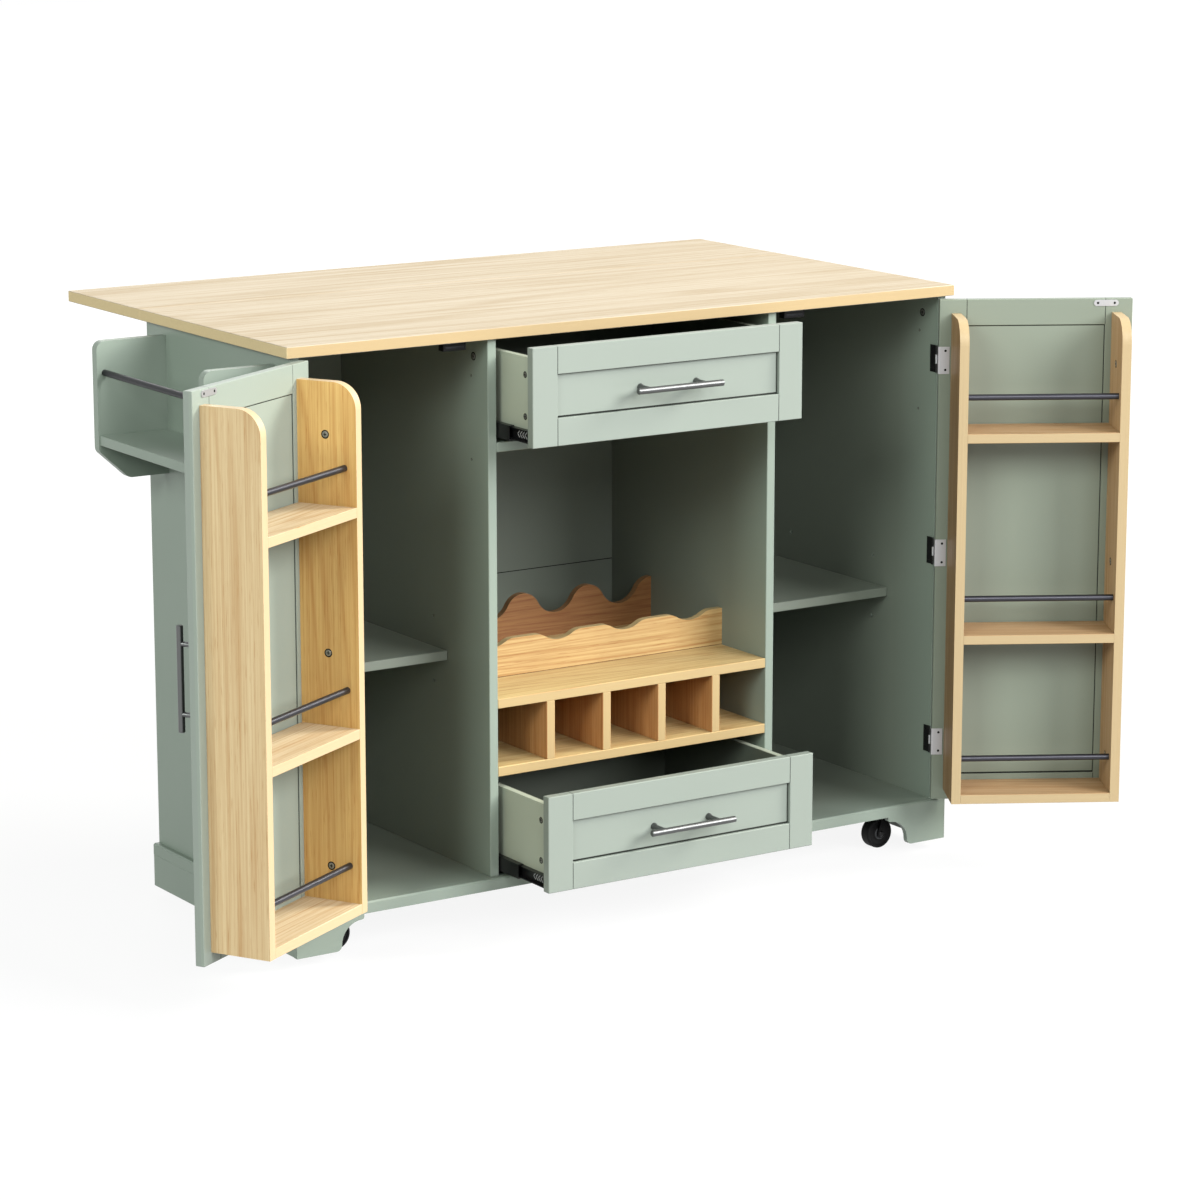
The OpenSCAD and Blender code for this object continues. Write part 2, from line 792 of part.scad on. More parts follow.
module door_fittings() {
    color(steel) {
        for (z = hinge_zs) door_hinge_leaf(z);
        xs = free_x - strike_in;
        zs = door_z + door_h - strike_drop;
        end = catch_l / 2 - strike_h / 2;
        box([xs - end, door_t, zs - strike_h / 2], [xs + end, door_t + strike_t, zs + strike_h / 2]);
        for (x = [xs - end, xs + end]) rod_y(door_t, door_t + strike_t, x, zs, strike_h);
    }
}

// The rack's side board: outline of depth against height, front top corner rounded
module rack_outline() {
    square([rack_d, rack_h - rack_round]);
    square([rack_d - rack_round, rack_h]);
    translate([rack_d - rack_round, rack_h - rack_round]) circle(rack_round);
}

function rod_at(s) = [door_t + rack_d - rod_in, rack_z + s + rod_up];

module rack_sides() {
    color(oak) difference() {
        for (x = [rack_x, rack_x + rack_w - rack_t]) {
            translate([x, door_t, rack_z]) rotate([90, 0, 90]) linear_extrude(rack_t) rack_outline();
        }
        for (s = rack_shelves) {
            rod_x(rack_x + rack_t - rod_seat, rack_x + rack_w - rack_t + rod_seat,
                  rod_at(s)[0], rod_at(s)[1], rod_d + 2 * run);
        }
    }
}

module rack_boards() {
    color(oak) for (s = rack_shelves) {
        board([rack_x + rack_t, door_t, rack_z + s - rack_t],
              [rack_x + rack_w - rack_t, door_t + rack_d, rack_z + s], small_ease);
    }
}

module rack_rods() {
    e = rod_seat - seat_gap;
    color(gunmetal) for (s = rack_shelves) {
        rod_x(rack_x + rack_t - e, rack_x + rack_w - rack_t + e, rod_at(s)[0], rod_at(s)[1], rod_d);
    }
}

// The fixed hinge leaf lies on the side panel and carries the pin
module frame_hinge_leaf(z) {
    x0 = -gap / 2;
    box([x0, knuckle_d / 2 + knuckle_play, z - hinge_h / 2], [x0 + hinge_t, hinge_w, z + hinge_h / 2]);
    for (side = [-1, 1]) {
        z0 = z + side * knuckle - knuckle / 2;
        translate([0, 0, z0]) cylinder(h = knuckle, d = knuckle_d);
        box([x0, 0, z0], [x0 + hinge_t, knuckle_d / 2 + knuckle_play, z0 + knuckle]);
    }
    translate([0, 0, z - hinge_h / 2]) cylinder(h = hinge_h, d = hinge_pin_d);
}

module hinge_frame_leaves() {
    color(steel) for (side = [-1, 1]) swing(side, 0) for (z = hinge_zs) frame_hinge_leaf(z);
}

module magnetic_catches() {
    x0 = free_x - strike_in - catch_l / 2;
    y0 = door_t + strike_t + catch_air;
    color(black) for (side = [-1, 1]) swing(side, 0)
        board([x0, y0, under_top - catch_h], [x0 + catch_l, y0 + catch_d, under_top]);
}

module left_door() { swing(-1, left_open) door_leaf(); }
module left_door_handle() { swing(-1, left_open) door_handle(); }
module left_door_fittings() { swing(-1, left_open) door_fittings(); }
module left_rack_sides() { swing(-1, left_open) rack_sides(); }
module left_rack_shelves() { swing(-1, left_open) rack_boards(); }
module left_rack_rods() { swing(-1, left_open) rack_rods(); }
module right_door() { swing(1, right_open) door_leaf(); }
module right_door_handle() { swing(1, right_open) door_handle(); }
module right_door_fittings() { swing(1, right_open) door_fittings(); }
module right_rack_sides() { swing(1, right_open) rack_sides(); }
module right_rack_shelves() { swing(1, right_open) rack_boards(); }
module right_rack_rods() { swing(1, right_open) rack_rods(); }

// ---- Drawers ----
// A drawer is drawn shut with the bottom of its front at z, then pulled out

module pulled(out) {
    translate([0, front_y - out, 0]) children();
}

module drawer_face(z) {
    color(sage) shaker(-front_w / 2, z, front_w, front_h);
}

module drawer_pull(z) {
    color(steel) translate([0, 0, z + front_h / 2]) handle_bar(false, panel_in);
}

module drawer_tray(z) {
    x = box_w / 2;
    z0 = z + box_up;
    y1 = door_t + box_l;
    color(sage) {
        both() board([-x, door_t, z0], [-x + box_t, y1, z0 + box_h], small_ease);
        board([-x + box_t, y1 - box_t, z0], [x - box_t, y1, z0 + box_h], small_ease);
        board([-x + box_t, door_t, z0], [x - box_t, y1 - box_t, z0 + floor_t], thin_ease);
    }
}

// A slide member: an open channel of the given height, its web at x0, lips towards x1
module channel(x0, x1, h, z) {
    web = x1 > x0 ? x0 + slide_t : x0 - slide_t;
    y0 = door_t;
    translate([0, y0, z]) {
        box([min(x0, web), 0, -h / 2], [max(x0, web), slide_l, h / 2]);
        for (side = [-1, 1]) {
            zl = side * (h / 2 - slide_t / 2);
            box([min(x0, x1), 0, zl - slide_t / 2], [max(x0, x1), slide_l, zl + slide_t / 2]);
        }
    }
}

nest = 0.5; // clearance between two nested members
lip_short = 4; // how far the lips stop short of the other side
step_h = 2 * (slide_t + nest); // each nested member is lower by this
function slide_z(z) = z + slide_up;

module drawer_slide_rails() {
    color(black) for (z = [low_z, high_z]) pulled(0) both()
        channel(-niche_x, -niche_x + slide_w - lip_short, slide_h, slide_z(z));
}

module slide_middle(z) {
    color(black) both()
        channel(-niche_x + slide_t + nest, -niche_x + slide_w - slide_t - nest,
                slide_h - step_h, slide_z(z));
}

module slide_runner(z) {
    color(black) both()
        channel(-niche_x + slide_w, -niche_x + lip_short, slide_h - 2 * step_h, slide_z(z));
}

module top_drawer_front() { pulled(top_out) drawer_face(high_z); }
module top_drawer_box() { pulled(top_out) drawer_tray(high_z); }
module top_drawer_handle() { pulled(top_out) drawer_pull(high_z); }
module top_drawer_runners() { pulled(top_out) slide_runner(high_z); }
module top_slide_middles() { pulled(top_out / 2) slide_middle(high_z); }
module bottom_drawer_front() { pulled(low_out) drawer_face(low_z); }
module bottom_drawer_box() { pulled(low_out) drawer_tray(low_z); }
module bottom_drawer_handle() { pulled(low_out) drawer_pull(low_z); }
module bottom_drawer_runners() { pulled(low_out) slide_runner(low_z); }
module bottom_slide_middles() { pulled(low_out / 2) slide_middle(low_z); }

// ---- Casters ----

module caster_plate() {
    boss_z = under_z - plate_t - boss_h;
    difference() {
        union() {
            box([-plate_s / 2, -plate_s / 2, under_z - plate_t], [plate_s / 2, plate_s / 2, under_z]);
            translate([0, 0, boss_z]) cylinder(h = boss_h, d = 2 * king_d);
        }
        translate([0, 0, boss_z - tiny])
            cylinder(h = plate_t + boss_h - king_cover + tiny, d = king_d + 2 * run);
    }
}

module caster_plates() {
    color(black) both() for (y = [caster_fy, caster_by]) translate([caster_x, y, 0]) caster_plate();
}

// The fork with its kingpin and axle; the wheel trails towards -X * dir. A cheek is
// round about the axle and broader on the trailing side where it meets the fork's top
module caster_fork(dir) {
    cheek = wheel_w / 2 + wheel_gap;
    ax = -dir * trail;
    eye_r = 7;
    root = 11;
    root_z = fork_z - fork_t / 2;
    color(black) {
        translate([0, 0, fork_z - fork_t]) cylinder(h = fork_t, d = 2 * (cheek + fork_t));
        translate([0, 0, fork_z - tiny]) cylinder(h = boss_h + fork_gap, d = king_d);
        for (side = [-1, 1]) {
            y0 = side > 0 ? cheek : -cheek - fork_t;
            translate([0, y0 + fork_t, 0]) rotate([90, 0, 0]) linear_extrude(fork_t) {
                polygon([[dir * eye_r, root_z], [ax + dir * eye_r, wheel_d / 2],
                         [ax - dir * eye_r, wheel_d / 2], [-dir * root, root_z]]);
                translate([ax, wheel_d / 2]) circle(eye_r);
            }
        }
        rod_y(-cheek - fork_t, cheek + fork_t, ax, wheel_d / 2, axle_d);
    }
}

// The wheel's section from the bore outwards: a full-width hub, a dished web, a rim
// and a tread with rounded corners
module caster_wheel(dir) {
    r = wheel_d / 2;
    w = wheel_w / 2;
    hub_r = 0.42 * r;
    web_in = 0.5 * r;
    web_out = 0.78 * r;
    rim_r = 0.84 * r;
    dish = 2;
    tread_r = 3;
    color(black) translate([-dir * trail, 0, r]) rotate([90, 0, 0]) rotate_extrude($fn = 72)
        polygon(concat([[axle_d / 2 + run, -w], [hub_r, -w], [web_in, -w + dish], [web_out, -w + dish],
                        [rim_r, -w]],
            arc([r - tread_r, -w + tread_r], tread_r, -90, 0, 4),
            arc([r - tread_r, w - tread_r], tread_r, 0, 90, 4),
            [[rim_r, w], [web_out, w - dish], [web_in, w - dish], [hub_r, w],
             [axle_d / 2 + run, w]]));
}

module caster_fork_fl() { translate([-caster_x, caster_fy, 0]) caster_fork(-1); }
module caster_fork_fr() { translate([caster_x, caster_fy, 0]) caster_fork(1); }
module caster_fork_bl() { translate([-caster_x, caster_by, 0]) caster_fork(-1); }
module caster_fork_br() { translate([caster_x, caster_by, 0]) caster_fork(1); }
module caster_wheel_fl() { translate([-caster_x, caster_fy, 0]) caster_wheel(-1); }
module caster_wheel_fr() { translate([caster_x, caster_fy, 0]) caster_wheel(1); }
module caster_wheel_bl() { translate([-caster_x, caster_by, 0]) caster_wheel(-1); }
module caster_wheel_br() { translate([caster_x, caster_by, 0]) caster_wheel(1); }

worktop();
left_side_panel();
right_side_panel();
left_partition();
right_partition();
bottom_panel();
back_panels();
drawer_shelf();
adjustable_shelves();
shelf_pins();
wine_shelves();
wine_dividers();
bottle_rest_front();
bottle_rest_back();
cap_moulding();
side_plinths();
bracket_feet();
spice_rack_plates();
spice_rack_shelf();
spice_rack_rod();
magnetic_catches();
hinge_frame_leaves();
drawer_slide_rails();
leaf_hinge_plates();
strut_rails();
caster_plates();
drop_leaf();
leaf_hinge_flaps();
strut_brackets();
leaf_struts();
left_door();
left_door_handle();
left_door_fittings();
left_rack_sides();
left_rack_shelves();
left_rack_rods();
right_door();
right_door_handle();
right_door_fittings();
right_rack_sides();
right_rack_shelves();
right_rack_rods();
top_drawer_front();
top_drawer_box();
top_drawer_handle();
top_drawer_runners();
bottom_drawer_front();
bottom_drawer_box();
bottom_drawer_handle();
bottom_drawer_runners();
top_slide_middles();
bottom_slide_middles();
caster_fork_fl();
caster_fork_fr();
caster_fork_bl();
caster_fork_br();
caster_wheel_fl();
caster_wheel_fr();
caster_wheel_bl();
caster_wheel_br();
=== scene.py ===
# %% [markdown]
# # A painted kitchen island, dressed for its picture
#
# The island is already built as solids: boards, doors, drawers, racks, hinges and
# casters, all at their real size. This lesson gives them their finishes, adds the small
# metalwork that is too fine for the solids, and lights and frames them.
# Everything is in metres: X runs along the worktop, Y from the doors to the folding
# leaf, and Z up from the floor.

import bmesh
import bpy
import math
from mathutils import Matrix, Vector


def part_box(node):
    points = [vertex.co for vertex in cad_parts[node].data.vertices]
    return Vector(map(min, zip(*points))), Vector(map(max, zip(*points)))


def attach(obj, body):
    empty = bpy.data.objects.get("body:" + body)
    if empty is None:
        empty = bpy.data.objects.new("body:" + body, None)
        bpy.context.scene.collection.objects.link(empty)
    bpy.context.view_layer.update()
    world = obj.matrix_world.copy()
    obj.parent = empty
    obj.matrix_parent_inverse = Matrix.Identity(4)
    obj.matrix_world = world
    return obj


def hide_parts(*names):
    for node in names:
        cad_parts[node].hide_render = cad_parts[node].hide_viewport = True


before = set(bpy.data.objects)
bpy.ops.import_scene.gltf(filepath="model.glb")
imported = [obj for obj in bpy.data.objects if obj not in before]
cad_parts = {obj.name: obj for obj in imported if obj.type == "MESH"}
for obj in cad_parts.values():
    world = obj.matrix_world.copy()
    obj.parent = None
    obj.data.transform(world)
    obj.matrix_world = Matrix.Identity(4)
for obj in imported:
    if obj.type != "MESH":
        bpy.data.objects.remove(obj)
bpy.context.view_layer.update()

# %% [markdown]
# ## A few words for nodes
#
# Every finish here is a small graph. Adding nodes one by one takes many lines, so a few
# helpers do it: `add` makes a node and fills its sockets, with a value or with another
# node's output, `calc` does one sum, `along` measures along a direction, and `ranged`
# stretches a value between two limits. They keep each finish short enough to read.

# %% Node helpers
ALONG_X, ALONG_Y, ALONG_Z = (1, 0, 0), (0, 1, 0), (0, 0, 1)
FULL_RANGE = (0.0, 1.0)


def put(tree, socket, value):
    """Fills a socket with a value, or links it to another node's output."""
    if isinstance(value, bpy.types.NodeSocket):
        tree.links.new(value, socket)
    else:
        socket.default_value = value


def add(tree, kind, settings=None, **sockets):
    """Makes a node, and fills the sockets named in plain words."""
    made = tree.nodes.new(kind)
    for name, value in (settings or {}).items():
        setattr(made, name, value)
    for name, value in sockets.items():
        put(tree, made.inputs[name.replace("_", " ")], value)
    return made


def calc(tree, operation, first, second=0.0, clamp=False):
    """One sum of two values."""
    made = tree.nodes.new("ShaderNodeMath")
    made.operation = operation
    made.use_clamp = clamp
    put(tree, made.inputs[0], first)
    put(tree, made.inputs[1], second)
    return made.outputs[0]


def along(tree, vector, direction):
    """How far a point lies along a direction."""
    made = tree.nodes.new("ShaderNodeVectorMath")
    made.operation = "DOT_PRODUCT"
    put(tree, made.inputs[0], vector)
    made.inputs[1].default_value = direction
    return made.outputs["Value"]


def ranged(tree, value, limits=FULL_RANGE, low=0.0, high=1.0):
    """Runs from low to high while a value runs between its limits, and holds at the ends."""
    made = add(tree, "ShaderNodeMapRange", Value=value, From_Min=limits[0], From_Max=limits[1],
               To_Min=low, To_Max=high)
    return made.outputs[0]


def blend_colours(tree, factor, first, second):
    """The first colour where the factor is 0, and the second where it is 1."""
    made = tree.nodes.new("ShaderNodeMix")
    made.data_type = "RGBA"
    put(tree, made.inputs["Factor"], factor)
    put(tree, made.inputs["A"], first)
    put(tree, made.inputs["B"], second)
    return made.outputs["Result"]


print("node helpers ready")

# %% [markdown]
# ## Starting a finish
#
# Each finish starts from Blender's own Principled surface, because one shader then
# serves wood, paint, metal and rubber alike. Colours are given as they look on a screen
# and turned into light, and fine relief is a bump, since carving it would take millions
# of faces.

# %% Finish helpers
def new_finish(name, **surface):
    """A material with a Principled surface. Returns the material, its tree and surface."""
    made = bpy.data.materials.new(name)
    made.use_nodes = True
    tree = made.node_tree
    shader = tree.nodes["Principled BSDF"]
    for socket, value in surface.items():
        shader.inputs[socket.replace("_", " ")].default_value = value
    return made, tree, shader


def srgb(red, green, blue):
    """A colour as seen on a screen, 0 to 255, made linear by the usual screen curve."""
    parts = [c / 255 for c in (red, green, blue)]
    return [c / 12.92 if c < 0.04 else ((c + 0.055) / 1.055) ** 2.4 for c in parts] + [1]


def noise(tree, vector, scale, detail, rough=0.5):
    """Smooth noise from 0 to 1, with finer noise on top of it."""
    made = add(tree, "ShaderNodeTexNoise", Vector=vector, Scale=scale, Detail=detail,
               Roughness=rough)
    return made.outputs["Fac"]


def bumped(tree, shader, height, distance, strength=1.0):
    """Gives a surface fine relief."""
    bump = add(tree, "ShaderNodeBump", Height=height, Distance=distance, Strength=strength)
    tree.links.new(bump.outputs["Normal"], shader.inputs["Normal"])


def glossed(tree, shader, wander, roughness, spread, limits=FULL_RANGE):
    """Lets the roughness of a surface wander a little round its own value."""
    gloss = ranged(tree, wander, limits, roughness + spread[0], roughness + spread[1])
    tree.links.new(gloss, shader.inputs["Roughness"])


print("finish helpers ready")

# %% [markdown]
# ## Oak, at three scales
#
# The worktop, the door racks and the wine rack are oak faced boards. What the eye reads
# as oak is three things at three scales: long figure, which is how the growth rings
# come out on a flat cut; fine fibres; and short dark pores.
# A picture of a board would repeat and blur. So all three are noise that is stretched a
# great deal along the grain. The figure comes from contour lines of a smooth noise,
# because the rings on a board are contour lines too.

# %% Oak's figure, fibres and pores
FIGURE = {"stretch": (0.4, 6.0), "detail": 2.0, "rough": 0.45}
FIBRE = {"stretch": (3.0, 300.0), "detail": 4.0, "rough": 0.65}
PORE = {"stretch": (26.0, 620.0), "detail": 2.0, "rough": 0.5}
RING_SHARPNESS = 3.5
STREAK_LIMITS, PORE_LIMITS = (0.36, 0.68), (0.60, 0.72)
RING_SHARE, STREAK_SHARE, PORE_SHARE = 0.30, 0.55, 0.42


def stretched(tree, place, grain, across, face, stretch):
    """Coordinates that run slowly along the grain and fast across it."""
    slow, fast = stretch
    combined = add(
        tree,
        "ShaderNodeCombineXYZ",
        X=calc(tree, "MULTIPLY", along(tree, place, grain), slow),
        Y=calc(tree, "MULTIPLY", along(tree, place, across), fast),
        Z=calc(tree, "MULTIPLY", along(tree, place, face), fast),
    )
    return combined.outputs[0]


def grain_noise(tree, place, axes, stretch, detail, rough):
    """Noise that is drawn out along the first of three axes."""
    return noise(tree, stretched(tree, place, *axes, stretch), 1.0, detail, rough)


def oak_pattern(tree, place, grain, face, rings, contrast):
    """How deep the oak's colour is, and the fibre, streaks and pores that make it so."""
    axes = (grain, face.cross(grain), face)
    figure = grain_noise(tree, place, axes, **FIGURE)
    fibre = grain_noise(tree, place, axes, **FIBRE)
    pore = grain_noise(tree, place, axes, **PORE)
    swing = calc(tree, "SINE", calc(tree, "MULTIPLY", figure, rings * math.tau))
    wave = calc(tree, "MULTIPLY", calc(tree, "ADD", swing, 1.0), 0.5)
    ring = calc(tree, "POWER", wave, RING_SHARPNESS)
    streak = ranged(tree, fibre, STREAK_LIMITS)
    pores = ranged(tree, pore, PORE_LIMITS)
    lines = calc(tree, "ADD", calc(tree, "MULTIPLY", ring, RING_SHARE * contrast),
                 calc(tree, "MULTIPLY", streak, STREAK_SHARE * contrast))
    depth = calc(tree, "ADD", lines, calc(tree, "MULTIPLY", pores, PORE_SHARE * contrast),
                 clamp=True)
    return depth, fibre, streak, pores


for layer in (FIGURE, FIBRE, PORE):
    print("oak layer runs along and across the grain at", layer["stretch"], "per metre")

# %% [markdown]
# ## Boards with a banded edge
#
# The edges of a faced board are covered by a strip of their own tone. Each strip could
# be a piece, but it is only as thick as card. So the finish finds the edges by itself:
# whatever doesn't face the way the board faces is an edge, and what faces along the
# grain is the board's end, which can have another strip.
# Two boards of a rack are one solid too. The one nearer the hinge gets tones of painted
# shade, or of warm bounced light, picked by how far it lies along the door.

# %% Oak boards
TURNED_AWAY = 0.6
BAND_FIBRE = 0.12
FIBRE_LIMITS, OAK_GLOSS_SPREAD = (0.3, 0.7), (-0.06, 0.10)
PORE_DEPTH = 0.00006


def oak(name, grain, face, pale, deep, band, rings=24.0, contrast=1.0, roughness=0.46,
        gloss_level=0.35, shading_nearer=None, end_band=None):
    """Oak with its grain and face in given directions, and a banded edge.

    For a board nearer the hinge, a distance along the face and the pale and deep tones of
    painted light and shade for what lies nearer than that. The end band is for the ends of
    the grain.
    """
    made, tree, shader = new_finish(name, Roughness=roughness, Specular_IOR_Level=gloss_level)
    grain, face = Vector(grain).normalized(), Vector(face).normalized()
    coords = add(tree, "ShaderNodeTexCoord")
    place, normal = coords.outputs["Object"], coords.outputs["Normal"]
    depth, fibre, streak, pores = oak_pattern(tree, place, grain, face, rings, contrast)
    # Painted light and shade on the board nearer the hinge.
    if shading_nearer:
        distance, shaded_near_pale, shaded_near_deep = shading_nearer
        is_near = calc(tree, "LESS_THAN", along(tree, place, face), distance)
        pale = blend_colours(tree, is_near, pale, shaded_near_pale)
        deep = blend_colours(tree, is_near, deep, shaded_near_deep)
    if end_band:
        endwise = calc(tree, "ABSOLUTE", along(tree, normal, grain))
        at_end = calc(tree, "GREATER_THAN", endwise, TURNED_AWAY)
        band = blend_colours(tree, at_end, band, end_band)
    board = blend_colours(tree, depth, pale, deep)
    strip = blend_colours(tree, calc(tree, "MULTIPLY", streak, BAND_FIBRE), band, deep)
    facewise = calc(tree, "ABSOLUTE", along(tree, normal, face))
    at_edge = calc(tree, "LESS_THAN", facewise, TURNED_AWAY)
    tree.links.new(blend_colours(tree, at_edge, board, strip), shader.inputs["Base Color"])
    glossed(tree, shader, fibre, roughness, OAK_GLOSS_SPREAD, FIBRE_LIMITS)
    bumped(tree, shader, calc(tree, "SUBTRACT", streak, pores), PORE_DEPTH)
    return made


TOP_PALE, TOP_DEEP = srgb(176, 165, 149), srgb(152, 135, 110)
TOP_BAND, TOP_END_BAND = srgb(162, 142, 108), srgb(196, 176, 138)
worktop_oak = oak("worktop_oak", ALONG_X, ALONG_Z, TOP_PALE, TOP_DEEP, TOP_BAND, rings=12.0,
                  contrast=1.1, roughness=0.55, gloss_level=0.04, end_band=TOP_END_BAND)
print("worktop oak made")

# %% [markdown]
# ## The wine rack's boards
#
# Between the drawers lies a niche with a row of cubby holes, and two waved rests for
# bottles. Its shelves run from side to side, its dividers stand upright, and the rests
# are boards on edge, so each has its grain and its face in other directions. These stand
# at different depths in the niche, so each kind has tones of painted shade: darker and
# warmer the deeper it stands, with the back rest darkest.

# %% Wine rack oak
NICHE_SHADED_BAND, BACK_REST_SHADE_BAND = srgb(163, 142, 102), srgb(120, 88, 56)
REST_RINGS, REST_CONTRAST = 44.0, 1.15
shelf_oak = oak("shelf_oak", ALONG_X, ALONG_Z, srgb(190, 167, 118), srgb(150, 112, 66),
                NICHE_SHADED_BAND, rings=34.0)
divider_oak = oak("divider_oak", ALONG_Z, ALONG_X, srgb(178, 132, 84), srgb(146, 94, 50),
                  NICHE_SHADED_BAND)
front_rest_oak = oak("front_rest_oak", ALONG_X, ALONG_Y, srgb(182, 155, 106),
                     srgb(142, 100, 54), NICHE_SHADED_BAND, REST_RINGS, REST_CONTRAST)
# Painted shade: the back rest stands in the niche's shadow, so its tones are darker.
back_rest_shade_oak = oak("back_rest_shade_oak", ALONG_X, ALONG_Y, srgb(132, 94, 57),
                    srgb(106, 64, 34), BACK_REST_SHADE_BAND, REST_RINGS, REST_CONTRAST)
wine_rack_oaks = [shelf_oak, divider_oak, front_rest_oak, back_rest_shade_oak]
print("wine rack finishes:", len(wine_rack_oaks))

# %% [markdown]
# ## Where the doors are
#
# Each door hangs on a hinge line at the front edge of a side panel, and is drawn open.
# The solids say where that line runs. From it and the door's angle come two directions,
# along the door and in from its outer face, and everything on a door is placed and
# grained in them, which is easier than turning each piece by hand.

# %% The doors' own directions
DOOR_OPEN = math.radians(150)
DOOR_W = 0.312
PIN_IN = 0.002
LEFT, RIGHT = -1, 1
SIDES = {LEFT: "left", RIGHT: "right"}
front_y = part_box("left_side_panel")[0].y
inside_low, inside_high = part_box("bottom_panel")
inner_x = inside_high.x
pin_x = inner_x - PIN_IN


def door_directions(side):
    """The directions along the door, away from its hinge, and into the cabinet when shut."""
    outward = Vector((-side * math.cos(DOOR_OPEN), -math.sin(DOOR_OPEN), 0))
    inward = Vector((-side * math.sin(DOOR_OPEN), math.cos(DOOR_OPEN), 0))
    return outward, inward


def hinge_foot(side):
    """Where a door's hinge line meets the floor."""
    return Vector((side * pin_x, front_y, 0))


for side, word in SIDES.items():
    print(word, "door runs along", [round(c, 3) for c in door_directions(side)[0]])

# %% [markdown]
# ## Racks that hang on open doors
#
# A rack has two upright sides and three shelves between them. Its shelves run with the
# door, so their grain does too. The two open doors turn their racks to different light,
# so each rack's tones are painted light and shade, and the board nearer the hinge gets
# its own painted shade, or on the left door warm bounced light.

# %% Door rack oak
# Painted light and shade: each rack's tones are set for the light its door turns to.
RACK_LIT_PALE = {LEFT: srgb(191, 169, 132), RIGHT: srgb(178, 147, 110)}
RACK_LIT_DEEP = {LEFT: srgb(158, 121, 77), RIGHT: srgb(150, 109, 65)}
RACK_LIT_BAND = {LEFT: srgb(170, 150, 119), RIGHT: srgb(169, 149, 115)}
SHELF_LIT_PALE = {LEFT: srgb(191, 173, 143), RIGHT: srgb(178, 147, 110)}
# Painted shade on the right, and warm bounced light painted on the left, for the board nearer the
# hinge.
NEAR_HINGE_SHADING_PALE = {LEFT: srgb(208, 173, 109), RIGHT: srgb(150, 120, 84)}
NEAR_HINGE_SHADING_DEEP = {LEFT: srgb(174, 122, 62), RIGHT: srgb(118, 84, 50)}
rack_side_oak = {}
rack_shelf_oak = {}
for side, word in SIDES.items():
    outward = door_directions(side)[0]
    door_middle = hinge_foot(side).dot(outward) + DOOR_W / 2
    near_hinge_shading = (door_middle, NEAR_HINGE_SHADING_PALE[side], NEAR_HINGE_SHADING_DEEP[side])
    rack_side_oak[side] = oak(f"{word}_rack_side_oak", ALONG_Z, outward, RACK_LIT_PALE[side],
                              RACK_LIT_DEEP[side], RACK_LIT_BAND[side], shading_nearer=near_hinge_shading)
    rack_shelf_oak[side] = oak(f"{word}_rack_shelf_oak", outward, ALONG_Z, SHELF_LIT_PALE[side],
                               RACK_LIT_DEEP[side], RACK_LIT_BAND[side])
print("door rack finishes:", len(rack_side_oak) + len(rack_shelf_oak))

# %% [markdown]
# ## Sage paint
#
# The cabinet is sprayed with a satin paint. Sprayed paint is never quite flat: it has a
# fine orange peel, which breaks up reflections, and its gloss wanders a little over a
# board. The colour itself hardly changes, so the noise on it is kept to a few percent.
# One board can show its outer face to the lamps and its inner face to a dark bay. A
# test in the finish tells the two apart by their place, and paints shade on the inner face.

# %% Sprayed paint
PEEL_SCALE, PEEL_DETAIL, PEEL_DEPTH, PEEL_STRENGTH = 520.0, 1.0, 0.00005, 0.6
CLOUD_SCALE, CLOUD_DETAIL = 3.5, 3.0
PAINT_GLOSS_SPREAD = (-0.05, 0.08)


def sprayed_paint(name, light, shade, roughness=0.42, inside=None, inner_shading=None):
    """Satin paint, which may have a tone of painted shade or light where a test says that it is
    inside.
    """
    made, tree, shader = new_finish(name, Roughness=roughness)
    place = add(tree, "ShaderNodeTexCoord").outputs["Object"]
    cloud = noise(tree, place, CLOUD_SCALE, CLOUD_DETAIL)
    colour = blend_colours(tree, cloud, light, shade)
    if inside:
        # Painted shade: the inner tone stands in for the shade on faces inside.
        colour = blend_colours(tree, inside(tree, place), colour, inner_shading)
    tree.links.new(colour, shader.inputs["Base Color"])
    glossed(tree, shader, cloud, roughness, PAINT_GLOSS_SPREAD)
    peel = noise(tree, place, PEEL_SCALE, PEEL_DETAIL)
    bumped(tree, shader, peel, PEEL_DEPTH, PEEL_STRENGTH)
    return made


PAINT, PAINT_SHADE = srgb(124, 132, 125), srgb(119, 127, 120)
sage_paint = sprayed_paint("sage_paint", PAINT, PAINT_SHADE)
print("paint:", [round(c, 3) for c in PAINT[:3]])

# %% [markdown]
# ## Painted shade inside the cabinet, the doors and the drawers
#
# The bays look darker than lamps that suit the outside would leave them, so the extra
# shade is painted as a darker inner tone: on the cabinet it comes in over the first 10 cm
# behind the front edge, and ends at the back panel. The open doors' inner faces get a
# slightly different tone of painted light and shade, and a drawer's box has painted light
# outside and painted shade between its sides.

# %% Inner and outer paint
DRAWERS = ("top", "bottom")
DRAWER_SIDE = 0.010
DOOR_CORE = 0.0095
FACE_SLACK, BACK_SLACK = 0.0005, 0.001
SHELTER = (inside_low.y + 0.004, inside_low.y + 0.10)
back_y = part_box("back_panels")[0].y
box_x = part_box("top_drawer_box")[1].x


def inside_cabinet(tree, place):
    """0 on the outside of the cabinet, 1 on its inner faces well behind the doors, where the shade
    is painted.
    """
    parts = add(tree, "ShaderNodeSeparateXYZ", Vector=place)
    across = calc(tree, "ABSOLUTE", parts.outputs["X"])
    between = calc(tree, "LESS_THAN", across, inner_x + FACE_SLACK)
    sheltered = ranged(tree, parts.outputs["Y"], SHELTER)
    before_back = calc(tree, "LESS_THAN", parts.outputs["Y"], back_y + BACK_SLACK)
    return calc(tree, "MULTIPLY", calc(tree, "MULTIPLY", between, sheltered), before_back)


